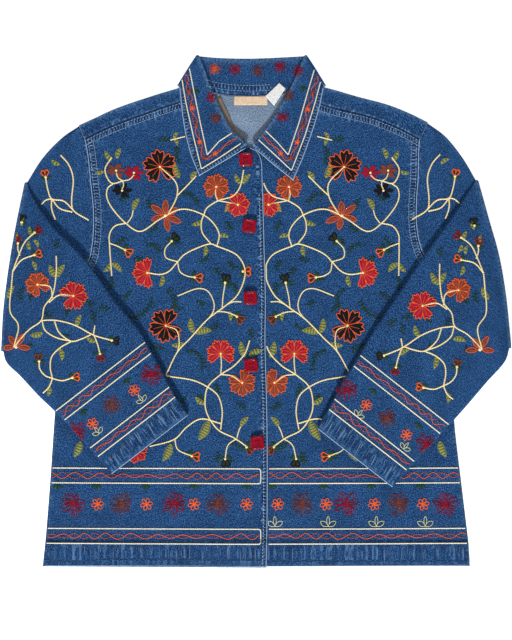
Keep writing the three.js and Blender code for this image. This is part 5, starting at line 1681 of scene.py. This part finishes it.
def newGroup(name, inputs, outputs):
    # an empty node group with its sockets, and its input and output nodes
    tree = bpy.data.node_groups.new(name, "ShaderNodeTree")
    for title, kind, value in inputs:
        socket = tree.interface.new_socket(title, in_out="INPUT", socket_type=kind)
        if value is not None:
            socket.default_value = value
    for title, kind in outputs:
        tree.interface.new_socket(title, in_out="OUTPUT", socket_type=kind)
    start, end = tree.nodes.new("NodeGroupInput"), tree.nodes.new("NodeGroupOutput")
    return tree, start, end


# Scales are per metre of cloth; ranges are what remap takes
weaveLook = {"grain": (1150.0, 600.0, 1.0), "slub": (700.0, 90.0, 1.0), "mottle": 26.0, "twill": 560.0,
             "pale": (0.52, 0.65), "dark": (0.5, 0.35), "slubs": (0.55, 0.72, 0.0, 0.75),
             "shade": (0.3, 0.7, 0.84, 1.2)}


def makeWeaveGroup():
    # twill lines, grain and slubs: colour between deep, base and pale yarn, and a height
    tree, start, end = newGroup("denimWeave", [
        ("Vector", "NodeSocketVector", None), ("Base", "NodeSocketColor", (0.02, 0.07, 0.19, 1)),
        ("Deep", "NodeSocketColor", (0.01, 0.03, 0.1, 1)), ("Pale", "NodeSocketColor", (0.1, 0.22, 0.4, 1)),
        ("Grain", "NodeSocketFloat", 0.5)],
        [("Color", "NodeSocketColor"), ("Height", "NodeSocketFloat")])
    look, vector, amount = weaveLook, start.outputs["Vector"], start.outputs["Grain"]
    grain = noiseOf(tree, stretched(tree, vector, look["grain"]), 1.0, 1.5, 0.6)
    slub = noiseOf(tree, stretched(tree, vector, look["slub"]), 1.0, 2.0, 0.6)
    twill = bandsOf(tree, vector, look["twill"], 1.2, "DIAGONAL", Detail=1.0)
    paleMask = math2(tree, "MAXIMUM", remap(tree, grain, *look["pale"]), remap(tree, slub, *look["slubs"]))
    paleAmount = math2(tree, "MULTIPLY", paleMask, amount, True)
    darkAmount = math2(tree, "MULTIPLY", remap(tree, grain, *look["dark"]), amount, True)
    colour = mixColour(tree, paleAmount, start.outputs["Base"], start.outputs["Pale"])
    colour = mixColour(tree, darkAmount, colour, start.outputs["Deep"])
    shade = remap(tree, noiseOf(tree, vector, look["mottle"], 3.0, 0.6), *look["shade"])
    tone = addNode(tree, "ShaderNodeCombineColor", {0: shade, 1: shade, 2: shade}).outputs[0]
    tree.links.new(mixColour(tree, 1.0, colour, tone, "MULTIPLY"), end.inputs["Color"])
    tree.links.new(math2(tree, "ADD", math2(tree, "MULTIPLY", twill, 0.5), grain), end.inputs["Height"])
    return tree


# Seam puckers: pale ridge streaks, worn and partly painted highlight, and painted shade in the hollows
puckerLook = {"stretch": 1.6, "slow": 0.21, "gate": (0.4, 0.58, 0.25, 1.0), "streak": (0.55, 0.6),
              "hollowShade": (0.5, 0.38)}


def makePuckerGroup():
    # streaks across a seam: noise read along the seam, stronger near it; pale on the ridges as wear and partly painted
    # highlight, painted shade in the hollows
    tree, start, end = newGroup("seamPucker", [
        ("Run", "NodeSocketFloat", 0.0), ("Strength", "NodeSocketFloat", 0.0),
        ("Frequency", "NodeSocketFloat", 240.0)],
        [("Mask", "NodeSocketFloat"), ("Dark", "NodeSocketFloat"), ("Height", "NodeSocketFloat")])
    look, strength = puckerLook, start.outputs["Strength"]
    along = math2(tree, "MULTIPLY", start.outputs["Run"], start.outputs["Frequency"])
    aside = math2(tree, "MULTIPLY", strength, look["stretch"])
    vector = addNode(tree, "ShaderNodeCombineXYZ", {0: along, 1: aside}).outputs[0]
    fine = noiseOf(tree, vector, 1.0, 1.5)
    slow = addNode(tree, "ShaderNodeVectorMath", {0: vector, "Scale": look["slow"]}, operation="SCALE").outputs[0]
    gate = remap(tree, noiseOf(tree, slow, 1.0, 1.0), *look["gate"])
    streak = math2(tree, "MULTIPLY", remap(tree, fine, *look["streak"]), gate)
    # painted shade where the noise is low, in the hollows
    hollowShade = remap(tree, fine, *look["hollowShade"])
    tree.links.new(math2(tree, "MULTIPLY", streak, strength, True), end.inputs["Mask"])
    tree.links.new(math2(tree, "MULTIPLY", hollowShade, strength, True), end.inputs["Dark"])
    tree.links.new(math2(tree, "MULTIPLY", fine, strength), end.inputs["Height"])
    return tree


weaveGroup = makeWeaveGroup()
puckerGroup = makePuckerGroup()


def newMaterial(name, roughness, **shaderValues):
    # a material with its tree and its shader, the shader's values set
    material = bpy.data.materials.new(name)
    material.use_nodes = True
    tree = material.node_tree
    shader = next(node for node in tree.nodes if node.type == "BSDF_PRINCIPLED")
    shader.inputs["Roughness"].default_value = roughness
    for key, value in shaderValues.items():
        shader.inputs[key].default_value = value
    return material, tree, shader


# Yarn colours of the face, the worn ridges, which also take the painted highlight of puckers, and the cloth's back,
# sRGB 0-255, and how each effect weighs; the deep colour also gives the painted shade in the puckers' hollows
denimLook = {"base": (19, 53, 98), "deep": (4, 20, 54), "pale": (66, 112, 160), "worn": (112, 150, 190),
             "wrongBase": (101, 120, 142), "wrongDeep": (66, 86, 112), "wrongPale": (146, 162, 180), "grain": 1.0,
             "rub": 330.0, "rubbed": (0.36, 0.62), "puckerPale": 0.66, "puckerHollowShade": 0.7}


def makeDenim():
    # woven face and back by the wrongSide mark, paler where worn and on the pucker ridges (partly painted highlight),
    # with painted shade in the puckers' hollows
    look = denimLook
    material, tree, shader = newMaterial("denim", 0.9, **{"Specular IOR Level": 0.06, "Sheen Weight": 0.02})
    uv = addNode(tree, "ShaderNodeUVMap", uv_map="cloth").outputs[0]
    mark = {key: addNode(tree, "ShaderNodeAttribute", attribute_name=key).outputs["Fac"]
            for key in ("pucker", "wear", "seamRun", "wrongSide")}

    def weave(*yarns):
        # the weave in three yarn colours
        values = {name: linear(look[key]) for name, key in zip(("Base", "Deep", "Pale"), yarns)}
        node = addNode(tree, "ShaderNodeGroup", node_tree=weaveGroup)
        tree.links.new(uv, node.inputs["Vector"])
        for name, value in {**values, "Grain": look["grain"]}.items():
            node.inputs[name].default_value = value
        return node

    face, wrong = weave("base", "deep", "pale"), weave("wrongBase", "wrongDeep", "wrongPale")
    pucker = addNode(tree, "ShaderNodeGroup", node_tree=puckerGroup)
    tree.links.new(mark["seamRun"], pucker.inputs["Run"])
    tree.links.new(mark["pucker"], pucker.inputs["Strength"])
    rubbed = remap(tree, noiseOf(tree, uv, look["rub"], 3.0), *look["rubbed"])
    worn = math2(tree, "MULTIPLY", rubbed, mark["wear"], True)
    # pucker ridges paler, as wear and partly painted highlight
    worn = math2(tree, "MAXIMUM", worn, math2(tree, "MULTIPLY", pucker.outputs["Mask"], look["puckerPale"]))
    # painted shade in the puckers' hollows
    hollowShade = math2(tree, "MULTIPLY", pucker.outputs["Dark"], look["puckerHollowShade"])
    colour = mixColour(tree, hollowShade, face.outputs["Color"], linear(look["deep"]))
    colour = mixColour(tree, worn, colour, linear(look["worn"]))
    tree.links.new(mixColour(tree, mark["wrongSide"], colour, wrong.outputs["Color"]), shader.inputs["Base Color"])
    weaveBump = bumpOf(tree, face.outputs["Height"], 0.35, 0.0004)
    tree.links.new(bumpOf(tree, pucker.outputs["Height"], 0.8, 0.003, Normal=weaveBump), shader.inputs["Normal"])
    return material


def makeWovenCloth(name, base, deep, pale, scale, roughness=0.85):
    # a plain weave of two crossing yarns with a little mottle
    material, tree, shader = newMaterial(name, roughness, **{"Specular IOR Level": 0.1})
    uv = addNode(tree, "ShaderNodeUVMap", uv_map="cloth").outputs[0]
    warp, weft = [bandsOf(tree, uv, scale, 0.6, direction) for direction in "XY"]
    weave = math2(tree, "MULTIPLY", warp, weft)
    shade = remap(tree, noiseOf(tree, uv, 300.0, 3.0), 0.35, 0.7, 0.0, 0.6)
    colour = mixColour(tree, shade, mixColour(tree, weave, linear(base), linear(pale)), linear(deep))
    tree.links.new(colour, shader.inputs["Base Color"])
    tree.links.new(bumpOf(tree, weave, 0.5, 0.0003), shader.inputs["Normal"])
    return material


# Two reds that the plastic clouds between, and its scuffs: how fine, and the roughness that they give
redLook = {"dark": (106, 4, 27), "light": (158, 9, 36), "cloud": 160.0, "scuff": 900.0, "rough": (0.4, 0.7, 0.12, 0.3)}


def makeButtonRed():
    # moulded plastic with a faint cloudy tone and fine scuffs
    look = redLook
    material, tree, shader = newMaterial("buttonRed", 0.14, **{
        "Specular IOR Level": 0.2, "Coat Roughness": 0.06, "Coat Weight": 0.08})
    place = addNode(tree, "ShaderNodeTexCoord").outputs["Object"]
    cloud, scuff = noiseOf(tree, place, look["cloud"], 2.0), noiseOf(tree, place, look["scuff"], 4.0)
    red = mixColour(tree, cloud, linear(look["dark"]), linear(look["light"]))
    tree.links.new(red, shader.inputs["Base Color"])
    tree.links.new(remap(tree, scuff, *look["rough"]), shader.inputs["Roughness"])
    tree.links.new(bumpOf(tree, scuff, 0.06, 0.0002), shader.inputs["Normal"])
    return material


strandLook = {"strand": 520.0, "weight": 0.35, "fuzz": 1100.0, "shade": (0.35, 0.95, 0.72, 1.16)}


def makeThread():
    # colour from the stitches' own attribute, broken by fine strands that run along each thread
    look = strandLook
    material, tree, shader = newMaterial("embroideryThread", 0.55, **{"Specular IOR Level": 0.12, "Sheen Weight": 0.03})
    uv = addNode(tree, "ShaderNodeUVMap", uv_map="cloth").outputs[0]
    place = addNode(tree, "ShaderNodeTexCoord").outputs["Object"]
    colour = addNode(tree, "ShaderNodeAttribute", attribute_name="threadColour").outputs["Color"]
    strand = bandsOf(tree, uv, look["strand"], 1.5, "DIAGONAL")
    mixed = math2(tree, "ADD", math2(tree, "MULTIPLY", strand, look["weight"]), noiseOf(tree, place, look["fuzz"], 2.0))
    shade = remap(tree, mixed, *look["shade"])
    tone = addNode(tree, "ShaderNodeCombineColor", {0: shade, 1: shade, 2: shade}).outputs[0]
    tree.links.new(mixColour(tree, 1.0, colour, tone, "MULTIPLY"), shader.inputs["Base Color"])
    tree.links.new(bumpOf(tree, mixed, 0.4, 0.0003), shader.inputs["Normal"])
    return material


denim = makeDenim()
tapeCloth = makeWovenCloth("tapeCloth", (118, 106, 96), (84, 76, 70), (142, 132, 122), 420.0)
labelCloth = makeWovenCloth("labelCloth", (222, 196, 164), (190, 160, 128), (240, 220, 194), 900.0, 0.6)
careCloth = makeWovenCloth("careCloth", (226, 226, 224), (196, 198, 200), (246, 246, 244), 900.0, 0.6)
buttonRed = makeButtonRed()
threadCloth = makeThread()
for name, piece in trims.items():
    piece.data.materials.append(buttonRed if name == "button_rims" else threadCloth)
    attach(piece, "root")

for key, piece in panels.items():
    material, slot = {"neck_tape": (tapeCloth, "tape"), "neck_label": (labelCloth, "label"),
                      "care_label": (careCloth, "care_label")}.get(key, (denim, "denim"))
    piece.data.materials.append(material)
    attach(piece, "root")
    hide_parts(key)
for number in range(1, 6):
    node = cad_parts["button_%d" % number]
    if not node.material_slots:
        node.data.materials.append(buttonRed)
    for slot in node.material_slots:
        slot.link = "OBJECT"
        slot.material = buttonRed


def polygonArea(points):
    # half the sum of the cross products of a polygon's neighbouring corners
    x, y = np.asarray(points, float).T
    return abs(float(np.dot(x, np.roll(y, -1)) - np.dot(y, np.roll(x, -1)))) / 2


def declareSheets():
    # what each panel was cut to, metres; areas from the outlines plus the turned-up hem
    def panelArea(*names):
        # area inside the outlines in turn, those with a minus run backwards
        line = np.vstack([spacedLine(outlines[name.strip("-")], 40)[::-1 if name.startswith("-") else 1]
                          for name in names])
        return polygonArea(line) * 1e-6

    right = panelArea("rightSide", "rightArmhole", "rightShoulderSeam", "-rightNeckSeam", "-lapEdge")
    left = panelArea("leftSide", "leftArmhole", "leftShoulderSeam", "-leftNeckSeam", "-underEdge")
    back = panelArea("rightSide", "rightArmhole", "rightShoulderFold", "backNeck", "-leftShoulderFold",
                     "-leftArmhole", "-leftSide") + 2 * 0.170 * 0.019
    print("areas", right, left, back)


declareSheets()

# The camera looks straight down at a height over a point; tallView is what the picture's height shows
view = {"centreX": -0.0004, "centreY": -0.0117, "height": 3.0, "tallView": 0.864}
cameraData = bpy.data.cameras.new("camera")
cameraData.sensor_fit = "AUTO"
cameraData.sensor_width = 36
cameraData.lens = 36 * view["height"] / view["tallView"]
camera = bpy.data.objects.new("camera", cameraData)
camera.location = (view["centreX"], view["centreY"], view["height"])
scene.collection.objects.link(camera)
scene.camera = camera

# A white sheet just under the jacket, lit a little from itself
ground = {"half": 4, "below": 0.0003, "tone": (0.94, 0.94, 0.94, 1), "glow": 0.6}
floorMesh = bpy.data.meshes.new("floor")
half, below = ground["half"], -ground["below"]
corners = [(-half, -half, below), (half, -half, below), (half, half, below), (-half, half, below)]
floorMesh.from_pydata(corners, [], [(0, 1, 2, 3)])
floor = bpy.data.objects.new("floor", floorMesh)
scene.collection.objects.link(floor)
paper, paperTree, paperShader = newMaterial("paper", 0.95)
paperShader.inputs["Base Color"].default_value = ground["tone"]
paperShader.inputs["Emission Color"].default_value = (1, 1, 1, 1)
paperShader.inputs["Emission Strength"].default_value = ground["glow"]
floorMesh.materials.append(paper)

# The sky's strength; azimuth, distance, height, power and size of each lamp
lights = {"world": 0.28, "key": (-94, 5.0, 2.75, 500.0, 0.65), "fill": (88, 1.75, 1.4, 17.5, 0.8)}
world = bpy.data.worlds.new("softStudio")
world.use_nodes = True
world.node_tree.nodes["Background"].inputs[0].default_value = (1, 1, 1, 1)
world.node_tree.nodes["Background"].inputs[1].default_value = lights["world"]
scene.world = world
for name in ("key", "fill"):
    azimuth, distance, height, power, size = lights[name]
    lamp = bpy.data.lights.new(name, "AREA")
    lamp.energy, lamp.size = power, size
    holder = bpy.data.objects.new(name, lamp)
    x, y = (distance * heading(azimuth)).tolist()
    holder.location = (x, y, height)
    holder.rotation_euler = (math.atan2(distance, height), 0, math.atan2(y, x) + math.pi / 2)
    scene.collection.objects.link(holder)
